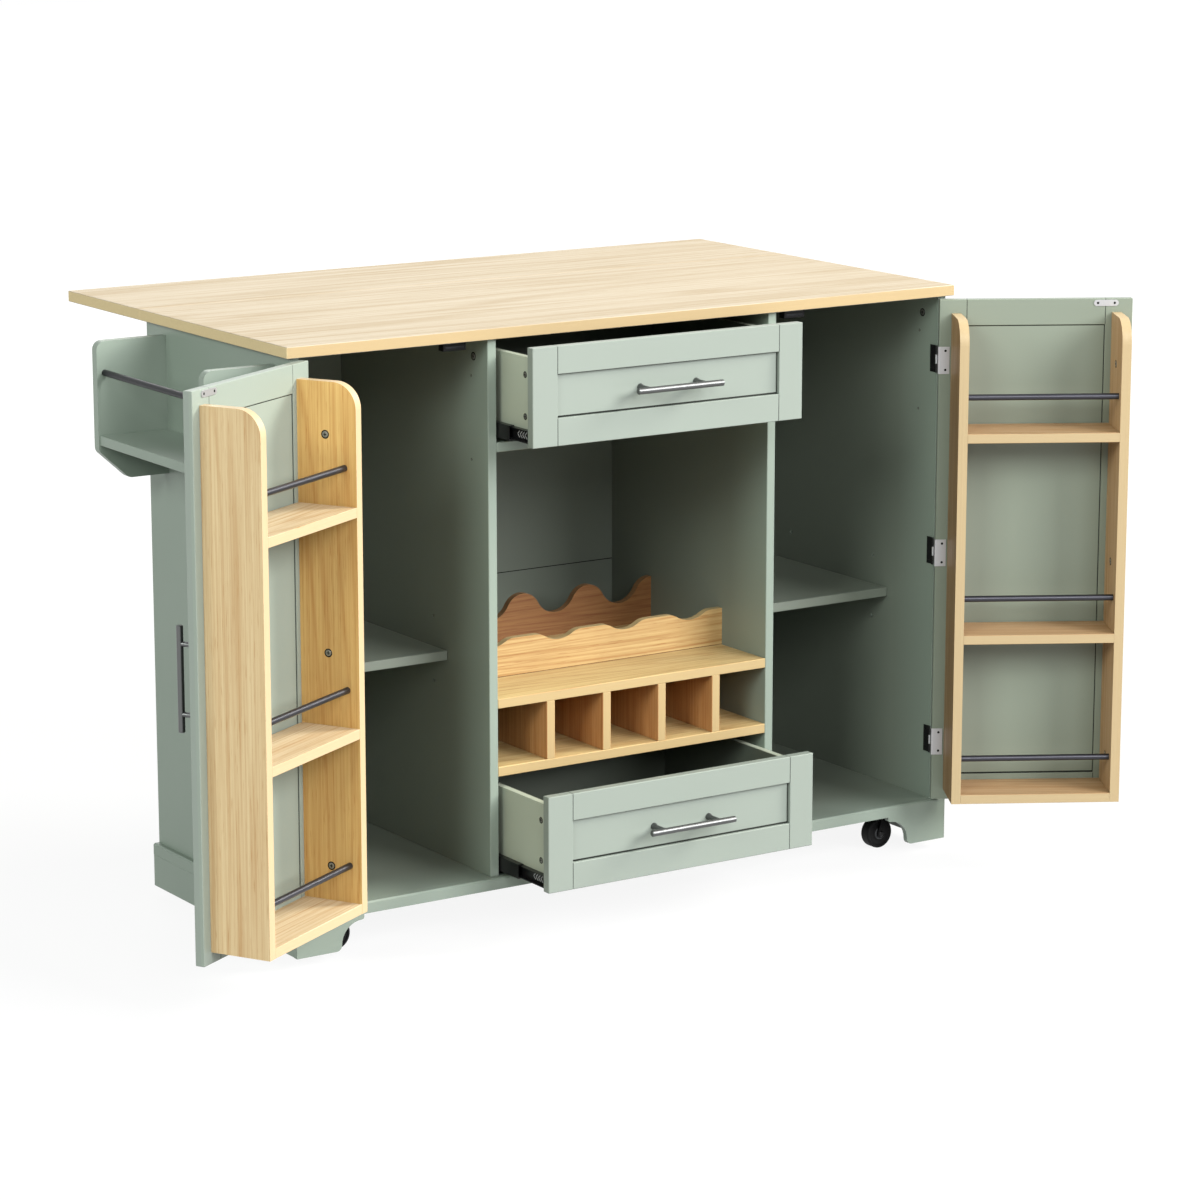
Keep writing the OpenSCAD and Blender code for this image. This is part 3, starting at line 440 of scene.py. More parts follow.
def inside_drawer(tree, place):
    """1 between the sides of a drawer, and 0 on their outer faces."""
    across = calc(tree, "ABSOLUTE", along(tree, place, ALONG_X))
    return calc(tree, "LESS_THAN", across, box_x - DRAWER_SIDE)


def behind_door(side):
    """A test that gives 1 on the inner face of an open door, and 0 on its outer one."""
    inward = door_directions(side)[1]
    limit = hinge_foot(side).dot(inward) + DOOR_CORE
    return lambda tree, place: calc(tree, "GREATER_THAN", along(tree, place, inward), limit)


# Painted shade: the darker tone of the cabinet's inner faces.
CABINET_OUTER, CABINET_SHADE = srgb(123, 134, 124), srgb(118, 129, 119)
CABINET_INNER_SHADE = srgb(105, 112, 102)
cabinet_paint = sprayed_paint("cabinet_paint", CABINET_OUTER, CABINET_SHADE,
                              inside=inside_cabinet, inner_shading=CABINET_INNER_SHADE)
# Painted light on the outer faces of a drawer's box, and painted shade between its sides.
DRAWER_OUTER_LIT, DRAWER_INNER_SHADE = srgb(156, 163, 148), srgb(80, 86, 77)
drawer_paint = sprayed_paint("drawer_paint", DRAWER_OUTER_LIT, DRAWER_OUTER_LIT,
                             inside=inside_drawer, inner_shading=DRAWER_INNER_SHADE)
# Painted light and shade: each open door's inner face gets its own tone for the light it turns to.
DOOR_INNER_SHADING = {LEFT: srgb(125, 134, 125), RIGHT: srgb(119, 127, 114)}
door_paint = {
    side: sprayed_paint(f"{word}_door_paint", PAINT, PAINT_SHADE, inside=behind_door(side),
                        inner_shading=DOOR_INNER_SHADING[side])
    for side, word in SIDES.items()
}
print("inner coat comes in from", [round(y, 3) for y in SHELTER])

# %% [markdown]
# ## Brushed and plated metal
#
# The bars of the handles are brushed along their length, so their scratches are drawn
# out along one axis, by the same stretching as the oak's fibres. The racks' rods have a
# dark gunmetal coat, the fittings on the doors are nickel plated, and the cams are zinc.
# One function makes each kind, and the numbers tell them apart.

# %% Metal
SCRATCH = {"stretch": (40.0, 2600.0), "detail": 2.0, "rough": 0.5}
SCRATCH_DEPTH, SCRATCH_SHADE = 0.00002, 0.82
METAL_GLOSS_SPREAD = (-0.08, 0.14)


def brushed(name, colour, axis, roughness=0.30, metallic=1.0):
    """Metal with fine scratches along an axis."""
    made, tree, shader = new_finish(name, Metallic=metallic)
    place = add(tree, "ShaderNodeTexCoord").outputs["Object"]
    axis = Vector(axis).normalized()
    side = axis.orthogonal().normalized()
    scratch = grain_noise(tree, place, (axis, side, axis.cross(side)), **SCRATCH)
    dark = [SCRATCH_SHADE * c for c in colour[:3]] + [1]
    tree.links.new(blend_colours(tree, scratch, colour, dark), shader.inputs["Base Color"])
    glossed(tree, shader, scratch, roughness, METAL_GLOSS_SPREAD)
    bumped(tree, shader, scratch, SCRATCH_DEPTH)
    return made


STEEL, GUNMETAL, COATED = srgb(104, 105, 105), srgb(66, 66, 72), 0.85
handle_steel = brushed("handle_steel", STEEL, ALONG_X)
upright_steel = brushed("upright_steel", STEEL, ALONG_Z)
nickel = brushed("nickel_fittings", srgb(196, 196, 198), ALONG_Z, 0.36)
zinc = brushed("zinc", srgb(150, 148, 142), ALONG_Y, 0.4, 0.9)
gunmetal = {
    side: brushed(f"{word}_gunmetal", GUNMETAL, door_directions(side)[0], metallic=COATED)
    for side, word in SIDES.items()
}
spice_gunmetal = brushed("spice_gunmetal", srgb(40, 41, 44), ALONG_Y, 0.36, COATED)
print("metals:", len([handle_steel, upright_steel, nickel, zinc, spice_gunmetal, *gunmetal]))

# %% [markdown]
# ## Powder coat, plastic, rubber and painted shade
#
# The slides and the leaf's supports are black powder coated steel, the catches and the
# casters' forks moulded nylon, and the wheels have a rubber tread. What tells them apart
# is how rough they are and how coarse their grain is. The shade in gaps that are too thin
# to look into is painted as a matt dark tone from the same function.

# %% Coat, plastic, rubber and shadow
MOULDED_SHINE = 0.16
WORN_GAIN, WORN_LIFT, WORN_SHARE = 1.5, 0.004, 0.6
WORN_SCALE, WORN_DETAIL, GRAIN_DETAIL = 14.0, 3.0, 2.0


def moulded(name, colour, roughness, grain_scale, depth, coat=0.0):
    """Plastic, rubber or a powder coat: one colour, with a fine moulded grain."""
    made, tree, shader = new_finish(name, Roughness=roughness, Coat_Weight=coat,
                                    Specular_IOR_Level=MOULDED_SHINE)
    place = add(tree, "ShaderNodeTexCoord").outputs["Object"]
    worn = [min(1, WORN_GAIN * c + WORN_LIFT) for c in colour[:3]] + [1]
    tone = calc(tree, "MULTIPLY", noise(tree, place, WORN_SCALE, WORN_DETAIL), WORN_SHARE)
    tree.links.new(blend_colours(tree, tone, colour, worn), shader.inputs["Base Color"])
    bumped(tree, shader, noise(tree, place, grain_scale, GRAIN_DETAIL), depth)
    return made


def shadow_tone(name, colour):
    """The painted shade of a gap, as a matt dark tone."""
    return moulded(name, colour, 0.7, 420.0, 0.00002)


# Each has its colour, its roughness, and how fine and how deep its grain is.
black_steel = moulded("black_steel", srgb(14, 14, 15), 0.34, 900.0, 0.00002, coat=0.2)
black_plastic = moulded("black_plastic", srgb(6, 6, 7), 0.42, 700.0, 0.00004)
wheel_rubber = moulded("wheel_rubber", srgb(8, 8, 9), 0.62, 420.0, 0.00008)
wheel_grey = moulded("wheel_grey", srgb(62, 63, 65), 0.5, 600.0, 0.00004)
chevron_grey = moulded("chevron_grey", srgb(140, 140, 142), 0.45, 700.0, 0.00002)
# Painted shade: the dark of a screw's hole and cross, and of the joint between the back panels.
recess_shade = shadow_tone("recess_shade", srgb(12, 12, 12))
# Painted shade: the dark of the hairline gaps round the panels, as thin strips.
seam_shade = shadow_tone("seam_shade", srgb(22, 25, 22))
# Painted shade along the foot of the front bottle rest.
rest_foot_shade = shadow_tone("rest_foot_shade", srgb(88, 60, 34))
print("coats and shadow tones ready")

# %% [markdown]
# ## Which solid gets which finish
#
# The solids keep their shapes and take a finish by name. A face-by-face choice would
# have to be made again whenever a solid changes, and a name stays. What isn't named
# here is a caster, a black fitting, or a painted board of the cabinet.

# %% Dress the solids
solid_finish = {
    "worktop": worktop_oak,
    "drop_leaf": worktop_oak,
    "wine_shelves": shelf_oak,
    "wine_dividers": divider_oak,
    "bottle_rest_front": front_rest_oak,
    "bottle_rest_back": back_rest_shade_oak,
    "spice_rack_rod": spice_gunmetal,
    "shelf_pins": nickel,
    "hinge_frame_leaves": black_steel,
    "magnetic_catches": black_plastic,
}
for side, word in SIDES.items():
    solid_finish[f"{word}_rack_sides"] = rack_side_oak[side]
    solid_finish[f"{word}_rack_shelves"] = rack_shelf_oak[side]
    solid_finish[f"{word}_rack_rods"] = gunmetal[side]
    solid_finish[f"{word}_door"] = door_paint[side]
    solid_finish[f"{word}_door_fittings"] = nickel
    solid_finish[f"{word}_door_handle"] = upright_steel
for word in DRAWERS:
    solid_finish[f"{word}_drawer_front"] = sage_paint
    solid_finish[f"{word}_drawer_box"] = drawer_paint
    solid_finish[f"{word}_drawer_handle"] = handle_steel

BLACK_STEEL_WORDS = ("slide", "runners", "leaf_hinge", "strut", "caster_plates")
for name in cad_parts:
    if name in solid_finish:
        continue
    if name.startswith("caster_wheel"):
        solid_finish[name] = wheel_rubber
    elif name.startswith("caster_fork"):
        solid_finish[name] = black_plastic
    elif any(word in name for word in BLACK_STEEL_WORDS):
        solid_finish[name] = black_steel
    else:
        solid_finish[name] = cabinet_paint
for name, finish in solid_finish.items():
    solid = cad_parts[name]
    solid.data.materials.clear()
    solid.data.materials.append(finish)
print("dressed:", len(solid_finish), "of", len(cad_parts))

# %% [markdown]
# ## Shapes for small metalwork
#
# Screws, cams and handle bars are all turned parts, so they come from one idea: draw
# half of the outline beside an axis, and spin it round. A second helper makes a block
# with its edges eased. Both return a bmesh, which can be moved and joined to others
# before it becomes a piece.

# %% Shape helpers
SAME_POINT = 1e-6


def turned(outline, steps):
    """Spins an outline of (radius, height) round the Z axis."""
    shape = bmesh.new()
    points = [shape.verts.new((radius, 0, height)) for radius, height in outline]
    for first, second in zip(points, points[1:]):
        shape.edges.new((first, second))
    bmesh.ops.spin(shape, geom=shape.verts[:] + shape.edges[:], cent=(0, 0, 0), axis=ALONG_Z,
                   angle=math.tau, steps=steps, use_merge=True)
    bmesh.ops.remove_doubles(shape, verts=shape.verts, dist=SAME_POINT)
    bmesh.ops.recalc_face_normals(shape, faces=shape.faces)
    return shape


def block(low, high, ease):
    """A block between two corners, with its edges eased."""
    shape = bmesh.new()
    low, high = Vector(low), Vector(high)
    bmesh.ops.create_cube(shape, size=1)
    bmesh.ops.scale(shape, vec=high - low, verts=shape.verts)
    bmesh.ops.translate(shape, vec=(low + high) / 2, verts=shape.verts)
    bmesh.ops.bevel(shape, geom=shape.edges[:], offset=ease, offset_type="OFFSET", segments=2,
                    profile=0.5, affect="EDGES", material=-1)
    return shape


def moved(shape, place):
    """Moves a shape by a matrix, and keeps its faces outwards if the matrix mirrors it."""
    bmesh.ops.transform(shape, matrix=place, verts=shape.verts)
    if place.determinant() < 0:
        bmesh.ops.reverse_faces(shape, faces=shape.faces)
    return shape


def joined(shapes):
    """Puts several shapes into one."""
    whole = bmesh.new()
    for shape in shapes:
        part = bpy.data.meshes.new("part")
        shape.to_mesh(part)
        shape.free()
        whole.from_mesh(part)
        bpy.data.meshes.remove(part)
    return whole


print("shape helpers ready")

# %% [markdown]
# ## From a shape to a piece
#
# A piece is a shape with a finish that rides on one of the island's bodies, so that it
# swings, slides or rolls with it. Its flat faces stay flat and its round ones are shaded
# smooth, by how far each edge bends. `facing` gives the matrix that stands a shape on a
# surface, with its own Z along the surface's normal.

# %% Piece helpers
SMOOTH_BELOW = math.radians(35)
NEARLY_UPRIGHT = 0.1


def piece(name, shape, finish, body, replaces=()):
    """Turns a shape into an object that rides on a body."""
    for face in shape.faces:
        face.smooth = True
    for edge in shape.edges:
        edge.smooth = edge.calc_face_angle(0) < SMOOTH_BELOW
    mesh = bpy.data.meshes.new(name)
    shape.to_mesh(mesh)
    shape.free()
    mesh.materials.append(finish)
    made = bpy.data.objects.new(name, mesh)
    bpy.context.scene.collection.objects.link(made)
    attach(made, body)
    if replaces:
        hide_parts(*replaces)
    return made


def facing(place, normal):
    """A matrix that puts Z along a normal, at a place."""
    z = Vector(normal).normalized()
    x = Vector(ALONG_Z).cross(z)
    x = x.normalized() if x.length > NEARLY_UPRIGHT else Vector(ALONG_X)
    turn = Matrix((x, z.cross(x), z)).transposed().to_4x4()
    return Matrix.Translation(place) @ turn


print("piece helpers ready")

# %% [markdown]
# ## Where things sit on doors and drawers
#
# A matrix turns a place in a door's own directions into a place in the room, so each
# fitting needs only its distances along the door, in from its outer face and up. The
# drawers run straight, so the front of each solid says how far it is pulled out.

# %% Places on the doors and drawers
PANEL_T = 0.015
HINGE_IN = 0.098
door_low, door_high = (corner.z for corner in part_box("left_door"))
hinge_heights = (door_low + HINGE_IN, (door_low + door_high) / 2, door_high - HINGE_IN)


def on_door(side):
    """A matrix from a door's own directions to the room."""
    outward, inward = door_directions(side)
    turn = Matrix((outward, inward, Vector(ALONG_Z))).transposed().to_4x4()
    return Matrix.Translation(hinge_foot(side)) @ turn


drawer_face = {word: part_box(f"{word}_drawer_front")[0].y for word in DRAWERS}
drawer_top = {word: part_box(f"{word}_drawer_front")[1].z for word in DRAWERS}
print("hinge pins at", round(pin_x, 4), "heights", [round(z, 4) for z in hinge_heights])
print("drawers out", {word: round(front_y - y, 4) for word, y in drawer_face.items()})

# %% [markdown]
# ## Painted shade in the seams round the panels
#
# A frame-and-panel door has a panel that floats in grooves, so that it can move without
# splitting. Where it enters the groove there is a hairline gap, whose shade reads as a dark
# line all the way round, and the stiles meet the rails in a finer one. A cut gap would
# need the solid itself to change, so the shade is painted instead: the lines are thin
# strips just proud of the panel, in the paint's own shadow colour.

# %% Panel seams
STILE, RAIL = 0.044, 0.042
SEAM, SEAM_LOW, SEAM_LAP = 0.0015, 0.0027, 0.0002
PROUD, SEAM_SINK, SEAM_EASE = 0.00015, 0.0004, 0.00004
JOINT, JOINT_IN, JOINT_SHORT = 0.0009, 0.0005, 0.001
DOOR_EDGE = 0.002
FRONT_RECESS, BACK_RECESS = 0.006, 0.002


def seams(left, right, low, high, panel_y, face_y, way):
    """Strips round a panel that faces the way of Y given, and in the joints of its frame."""
    x0, x1, z0, z1 = left + STILE, right - STILE, low + RAIL, high - RAIL
    shapes = []

    def strip(a, b, y):
        near, far = sorted((y - way * SEAM_SINK, y + way * PROUD))
        shapes.append(block((a[0], near, a[1]), (b[0], far, b[1]), SEAM_EASE))

    joint_y = face_y - way * JOINT_IN
    for x, inward in ((x0, 1), (x1, -1)):
        edges = sorted((x - inward * SEAM_LAP, x + inward * SEAM))
        strip((edges[0], z0), (edges[1], z1), panel_y)
        for start, end in ((low, z0), (z1, high)):
            strip((x - JOINT / 2, start + JOINT_SHORT), (x + JOINT / 2, end - JOINT_SHORT), joint_y)
    for z, inward, wide in ((z0, 1, SEAM_LOW), (z1, -1, SEAM)):
        edges = sorted((z - inward * SEAM_LAP, z + inward * wide))
        strip((x0, edges[0]), (x1, edges[1]), panel_y)
    return joined(shapes)


def door_seams():
    """Seams on both faces of a door, in the door's own directions."""
    faces = ((FRONT_RECESS, 0, -1), (PANEL_T - BACK_RECESS, PANEL_T, 1))
    return joined([seams(DOOR_EDGE, DOOR_EDGE + DOOR_W, door_low, door_high, panel, face, way)
                   for panel, face, way in faces])


for word in DRAWERS:
    low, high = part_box(f"{word}_drawer_front")
    shape = seams(low.x, high.x, low.z, high.z, low.y + FRONT_RECESS, low.y, -1)
    piece(f"{word}_drawer_seams", shape, seam_shade, f"{word}_drawer")
for side, word in SIDES.items():
    shape = moved(door_seams(), on_door(side))
    piece(f"{word}_door_seams", shape, seam_shade, f"{word}_door_leaf")
print("panels with seams:", len(DRAWERS) + 2 * len(SIDES))

# %% [markdown]
# ## Bar handles
#
# Each handle is a steel bar on two posts. The bar's ends are chamfered, and each post
# widens where it meets the wood, which hides the screw hole and spreads the load. All
# of it is turned on a lathe, so it is spun here. The plain bars of the solids are
# replaced by these.

# %% Handles
BAR_LENGTH, BAR_R, BAR_CHAMFER, BAR_OUT = 0.155, 0.005, 0.0009, 0.028
POST_SPAN, POST_R = 0.102, 0.0038
POST_FOOT_R, POST_FOOT_T, POST_FLARE = 0.0056, 0.0015, 0.007
BAR_STEPS, POST_STEPS = 40, 32


def handle(depth):
    """A bar along X, in front of a face that is depth behind Y = 0."""
    half, reach = BAR_LENGTH / 2, BAR_OUT + depth
    bar = turned([(0, -half), (BAR_R - BAR_CHAMFER, -half), (BAR_R, -half + BAR_CHAMFER),
                  (BAR_R, half - BAR_CHAMFER), (BAR_R - BAR_CHAMFER, half), (0, half)], BAR_STEPS)
    lying = Matrix.Rotation(math.pi / 2, 4, "Y")
    shapes = [moved(bar, Matrix.Translation((0, -BAR_OUT, 0)) @ lying)]
    for side in (-1, 1):
        post = turned([(POST_R, 0), (POST_R, reach - POST_FLARE),
                       (POST_FOOT_R, reach - POST_FOOT_T), (POST_FOOT_R, reach), (0, reach)],
                      POST_STEPS)
        shapes.append(moved(post, facing((side * POST_SPAN / 2, -BAR_OUT, 0), ALONG_Y)))
    return joined(shapes)


DRAWER_BAR_DOWN = 0.075
for word in DRAWERS:
    spot = (0, drawer_face[word], drawer_top[word] - DRAWER_BAR_DOWN)
    shape = moved(handle(FRONT_RECESS), Matrix.Translation(spot))
    piece(f"{word}_drawer_bar", shape, handle_steel, f"{word}_drawer",
          [f"{word}_drawer_handle"])
DOOR_BAR_S, DOOR_BAR_Z = 0.292, 0.4985
upright = Matrix.Translation((DOOR_BAR_S, 0, DOOR_BAR_Z)) @ Matrix.Rotation(math.pi / 2, 4, "Y")
for side, word in SIDES.items():
    shape = moved(handle(0), on_door(side) @ upright)
    piece(f"{word}_door_bar", shape, upright_steel, f"{word}_door_leaf",
          [f"{word}_door_handle"])
print("handles:", len(DRAWERS) + len(SIDES))

# %% [markdown]
# ## Screws and cams
#
# Flat-pack furniture is held by countersunk screws, and by cams: round zinc discs that
# draw a bolt tight when they are turned. Seen from outside, each is a small disc with a
# cross in it, set in a hole, and the thin dark ring of shade in the hole is what shows most.
# Cutting real holes would change the solids. A screw is therefore three shapes that lie
# on them: the head, and the ring and the cross in painted shade.

# %% Screw and cam shapes
HEAD_RISE, CROSS_RISE, RING_RISE = 0.00045, 0.00052, 0.00015
HEAD_OUTLINE = ((1, 0), (0.96, 0.6), (0.7, 1), (0, 1))
RING_OUTLINE = ((1.36, 0), (1.3, 1), (0, 1))
CROSS_ARM, CROSS_WIDTH, CROSS_EASE = 0.55, 0.12, 0.00003
HEAD_STEPS = 24


def scaled(outline, radius, rise):
    """An outline that is drawn in shares of a radius and a rise, at its real size."""
    return [(wide * radius, high * rise) for wide, high in outline]


def screw_parts(radius, share):
    """Head, and the ring and cross in painted shade, for a screw or cam whose axis is Z."""
    head = turned(scaled(HEAD_OUTLINE, radius, share * HEAD_RISE), HEAD_STEPS)
    ring = turned(scaled(RING_OUTLINE, radius, share * RING_RISE), HEAD_STEPS)
    arm, width, top = CROSS_ARM * radius, CROSS_WIDTH * radius, share * CROSS_RISE
    cross = [block((-arm, -width, 0), (arm, width, top), CROSS_EASE),
             block((-width, -arm, 0), (width, arm, top), CROSS_EASE)]
    return head, joined([ring] + cross)


def screws(name, radius, places, finish, body, share=1.0):
    """One piece of heads and one of rings and crosses in painted shade, over all the places."""
    heads, hole_shades = [], []
    for place in places:
        head, dark = screw_parts(radius, share)
        heads.append(moved(head, place))
        hole_shades.append(moved(dark, place))
    piece(f"{name}_heads", joined(heads), finish, body)
    piece(f"{name}_recesses", joined(hole_shades), recess_shade, body)
    return len(places)


SMALL_R, CAM_R, DRAWER_CAM_R = 0.0015, 0.0048, 0.0037
print("radius of screws, cams and drawer cams:", SMALL_R, CAM_R, DRAWER_CAM_R)

# %% [markdown]
# ## Screws and cams on the doors
#
# Each hinge leaf and each strike plate is held by two screws, which lie flatter than the
# rest, so that the door shuts over them. The rack's shelves are held by a cam at each
# end, on the inner faces of its two sides. All are placed in the door's own directions.

# %% Door screws and rack cams
HINGE_SCREW_UP, HINGE_SCREW_S, HINGE_T = 0.0155, 0.0125, 0.0012
STRIKE_S, STRIKE_Z, STRIKE_SCREW = 0.271, 0.907, 0.0135
FLUSH = 0.4
CAM_DEPTH, CAM_HEIGHTS = 0.0466, (0.815, 0.4925, 0.171)
RACK_INNER = ((0.0365, 1), (0.2805, -1))
count = 0
for side, word in SIDES.items():
    door = on_door(side)
    body = f"{word}_door_leaf"
    leaf_face = PANEL_T + HINGE_T
    places = [door @ facing((HINGE_SCREW_S, leaf_face, z + step), ALONG_Y)
              for z in hinge_heights for step in (-HINGE_SCREW_UP, HINGE_SCREW_UP)]
    places += [door @ facing((STRIKE_S + step, leaf_face, STRIKE_Z), ALONG_Y)
               for step in (-STRIKE_SCREW, STRIKE_SCREW)]
    count += screws(f"{word}_door_screws", SMALL_R, places, black_steel, body, FLUSH)
    places = [door @ facing((s, PANEL_T + CAM_DEPTH, z), (way, 0, 0))
              for s, way in RACK_INNER for z in CAM_HEIGHTS]
    count += screws(f"{word}_rack_cams", CAM_R, places, zinc, body)
print("screws and cams on the doors:", count)

# %% [markdown]
# ## Cams on the drawers
#
# A drawer's front is drawn onto its sides by two cams in each, just behind the front.
# They show as soon as the drawer is open.

# %% Drawer cams
CAM_BACK, CAM_DROPS = 0.035, (0.044, 0.107)
for word in DRAWERS:
    cam_y = drawer_face[word] + CAM_BACK
    places = [facing((way * box_x, cam_y, drawer_top[word] - drop), (way, 0, 0))
              for way in (-1, 1) for drop in CAM_DROPS]
    count += screws(f"{word}_drawer_cams", DRAWER_CAM_R, places, zinc, f"{word}_drawer")
print("with the drawers' cams:", count)

# %% [markdown]
# ## Cams and screws in the bays
#
# Two side panels and two partitions make the side bays, and each face that looks into a
# bay has the same pattern: a cam near each upper corner, and two screws near the front.
# One list of faces places them all, by where a face lies and which way it looks. The
# hinge leaves on the frame are screwed to the side panels.

# %% Cabinet cams and screws
niche_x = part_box("drawer_shelf")[1].x
part_x = niche_x + PANEL_T
INNER_FACES = ((-inner_x, 1), (-part_x, -1), (part_x, 1), (inner_x, -1))
CAM_Y, CAM_Z = 0.185, 0.887
FACE_SCREWS = ((-0.178, 0.857), (-0.178, 0.729))
FRAME_LEAF_OUT = 0.0008
places = [facing((x, y, CAM_Z), (way, 0, 0)) for y in (-CAM_Y, CAM_Y) for x, way in INNER_FACES]
count += screws("cabinet_cams", CAM_R, places, zinc, "cabinet")
places = [facing((x, y, z), (way, 0, 0)) for x, way in INNER_FACES for y, z in FACE_SCREWS]
count += screws("cabinet_screws", SMALL_R, places, zinc, "cabinet")
leaf_x, leaf_y = pin_x + FRAME_LEAF_OUT, front_y + HINGE_SCREW_S
places = [facing((side * leaf_x, leaf_y, z + step), (-side, 0, 0))
          for side in SIDES for z in hinge_heights for step in (-HINGE_SCREW_UP, HINGE_SCREW_UP)]
count += screws("frame_hinge_screws", SMALL_R, places, black_steel, "cabinet")
print("with the bays:", count)

# %% [markdown]
# ## Screws at the back
#
# The back panels are held by rows of screws along their upper and lower edges, and each
# rail that guides a strut of the leaf has three screws down its web. Columns and heights
# are spread evenly between the ends of the solids.

# %% Back screws
BACK_ROWS, BACK_COLUMNS, BACK_EDGE_IN = (0.077, 0.441, 0.459, 0.910), 7, 0.012
RAIL_X, RAIL_WEB, RAIL_SCREWS = 0.2575, 0.002, 3
back_low, back_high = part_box("back_panels")
column_gap = (back_high.x - back_low.x - 2 * BACK_EDGE_IN) / (BACK_COLUMNS - 1)
columns = [back_low.x + BACK_EDGE_IN + i * column_gap for i in range(BACK_COLUMNS)]
places = [facing((x, back_high.y, z), ALONG_Y) for x in columns for z in BACK_ROWS]
rail_low, rail_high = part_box("strut_rails")
rail_heights = [rail_low.z + (i + 0.5) * (rail_high.z - rail_low.z) / RAIL_SCREWS
                for i in range(RAIL_SCREWS)]
places += [facing((side * RAIL_X, rail_low.y + RAIL_WEB, z), ALONG_Y)
           for side in SIDES for z in rail_heights]
count += screws("back_screws", SMALL_R, places, black_steel, "cabinet")
print("with the back:", count)

# %% [markdown]
# ## Screws under the leaf and bolts on the casters
#
# Three hinges join the leaf to the worktop, each with a plate under the worktop and a
# flap under the leaf, and two brackets on the leaf carry the struts. Their screws all go
# up into the underside. The casters' plates are square, with a bolt in each corner.

# %% Leaf screws and caster bolts
BRACKET_HALF, FLAP_T, FLAP_SCREW = 0.028, 0.0016, 0.020
PLATE_SCREW_BACK, FLAP_SCREW_OUT = 0.0079, 0.0148
HINGE_LINES = (-0.551, 0, 0.551)
DOWN = (0, 0, -1)
under_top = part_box("worktop")[0].z
leaf_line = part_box("drop_leaf")[0].y
bracket_low, bracket_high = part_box("strut_brackets")
bracket_y = (bracket_low.y + bracket_high.y) / 2


def flap_screws(y):
    """Places for two screws on each hinge, in a row at Y."""
    return [facing((x + step, y, under_top - FLAP_T), DOWN)
            for x in HINGE_LINES for step in (-FLAP_SCREW, FLAP_SCREW)]


places = [facing((side * RAIL_X, bracket_y + step, under_top - RAIL_WEB), DOWN)
          for side in SIDES for step in (-BRACKET_HALF, BRACKET_HALF)]
places += flap_screws(leaf_line + FLAP_SCREW_OUT)
count += screws("leaf_screws", SMALL_R, places, zinc, "leaf")
places = flap_screws(leaf_line - PLATE_SCREW_BACK)
count += screws("hinge_plate_screws", SMALL_R, places, zinc, "cabinet")

PLATE_SIZE, PLATE_T, BOLT_R, BOLT_IN = 0.042, 0.0025, 0.003, 0.0055
plate_low, plate_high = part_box("caster_plates")
bolts = []
for x in (plate_low.x, plate_high.x - PLATE_SIZE):
    for y in (plate_low.y, plate_high.y - PLATE_SIZE):
        for right in (BOLT_IN, PLATE_SIZE - BOLT_IN):
            for back in (BOLT_IN, PLATE_SIZE - BOLT_IN):
                bolts.append(facing((x + right, y + back, plate_high.z - PLATE_T), DOWN))
count += screws("caster_bolts", BOLT_R, bolts, zinc, "cabinet")
print("screws, cams and bolts in all:", count)

# %% [markdown]
# ## Painted shade in joints
#
# The back is made of two thin panels, and inside the bays and the niche their joint
# shows as a dark line of shade. The bottle rests only stand on their shelf, so a finer
# line of shade runs along the foot of the front one. Both are painted shade: strips a
# fraction of a millimetre proud, like the seams round the door panels.

# %% Joint lines
BACK_JOINT_Z, LINE, REST_LINE = 0.450, 0.0014, 0.0010
line_low, line_high = BACK_JOINT_Z - LINE / 2, BACK_JOINT_Z + LINE / 2
lines = [block((low, back_y - PROUD, line_low), (high, back_y + PROUD, line_high), SEAM_EASE)
         for low, high in ((-inner_x, -part_x), (-niche_x, niche_x), (part_x, inner_x))]
piece("back_joint_lines", joined(lines), recess_shade, "cabinet")
rest_low, rest_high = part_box("bottle_rest_front")
shape = block((rest_low.x, rest_low.y - PROUD, rest_low.z),
              (rest_high.x, rest_low.y + PROUD, rest_low.z + REST_LINE), SEAM_EASE)
piece("rest_foot_line", shape, rest_foot_shade, "cabinet")
print("joint lines:", len(lines) + 1)

# %% [markdown]
# ## Marks on the drawer slides
#
# Where a drawer is open, its runner shows, with a row of chevrons near its front end.
# They point to the back and stand a little proud, so each is two thin blocks, turned to
# meet in a point.

# %% Chevrons
CHEVRON_ARM, CHEVRON_T, CHEVRON_RISE, CHEVRON_EASE = 0.0078, 0.0014, 0.0004, 0.0001
CHEVRON_TURN = math.radians(42)
CHEVRON_START, CHEVRON_STEP, CHEVRONS = 0.0185, 0.0068, 4
RUNNER_WEB = 0.0012


def chevron():
    """Two arms that meet in a point at X = 0, flat on Z = 0."""
    arms = []
    for turn in (-CHEVRON_TURN, CHEVRON_TURN):
        arm = block((-CHEVRON_ARM, -CHEVRON_T / 2, 0), (0, CHEVRON_T / 2, CHEVRON_RISE),
                    CHEVRON_EASE)
        arms.append(moved(arm, Matrix.Rotation(turn, 4, "Z")))
    return joined(arms)


for word in DRAWERS:
    low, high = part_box(f"{word}_drawer_runners")
    marks = []
    for way in (-1, 1):
        turn = Matrix((ALONG_Y, (0, 0, way), (way, 0, 0))).transposed().to_4x4()
        for step in range(CHEVRONS):
            spot = (way * (box_x + RUNNER_WEB), low.y + CHEVRON_START + step * CHEVRON_STEP,
                    (low.z + high.z) / 2)
            marks.append(moved(chevron(), Matrix.Translation(spot) @ turn))
    piece(f"{word}_slide_chevrons", joined(marks), chevron_grey, f"{word}_drawer")
print("chevrons on each drawer:", len(marks))

# %% [markdown]
# ## Door catches
#
# Each door catch is a magnet between two steel strips in a plastic case. The case is a
# solid already, and the ends of its strips show at the front, where the strike plate
# meets them.

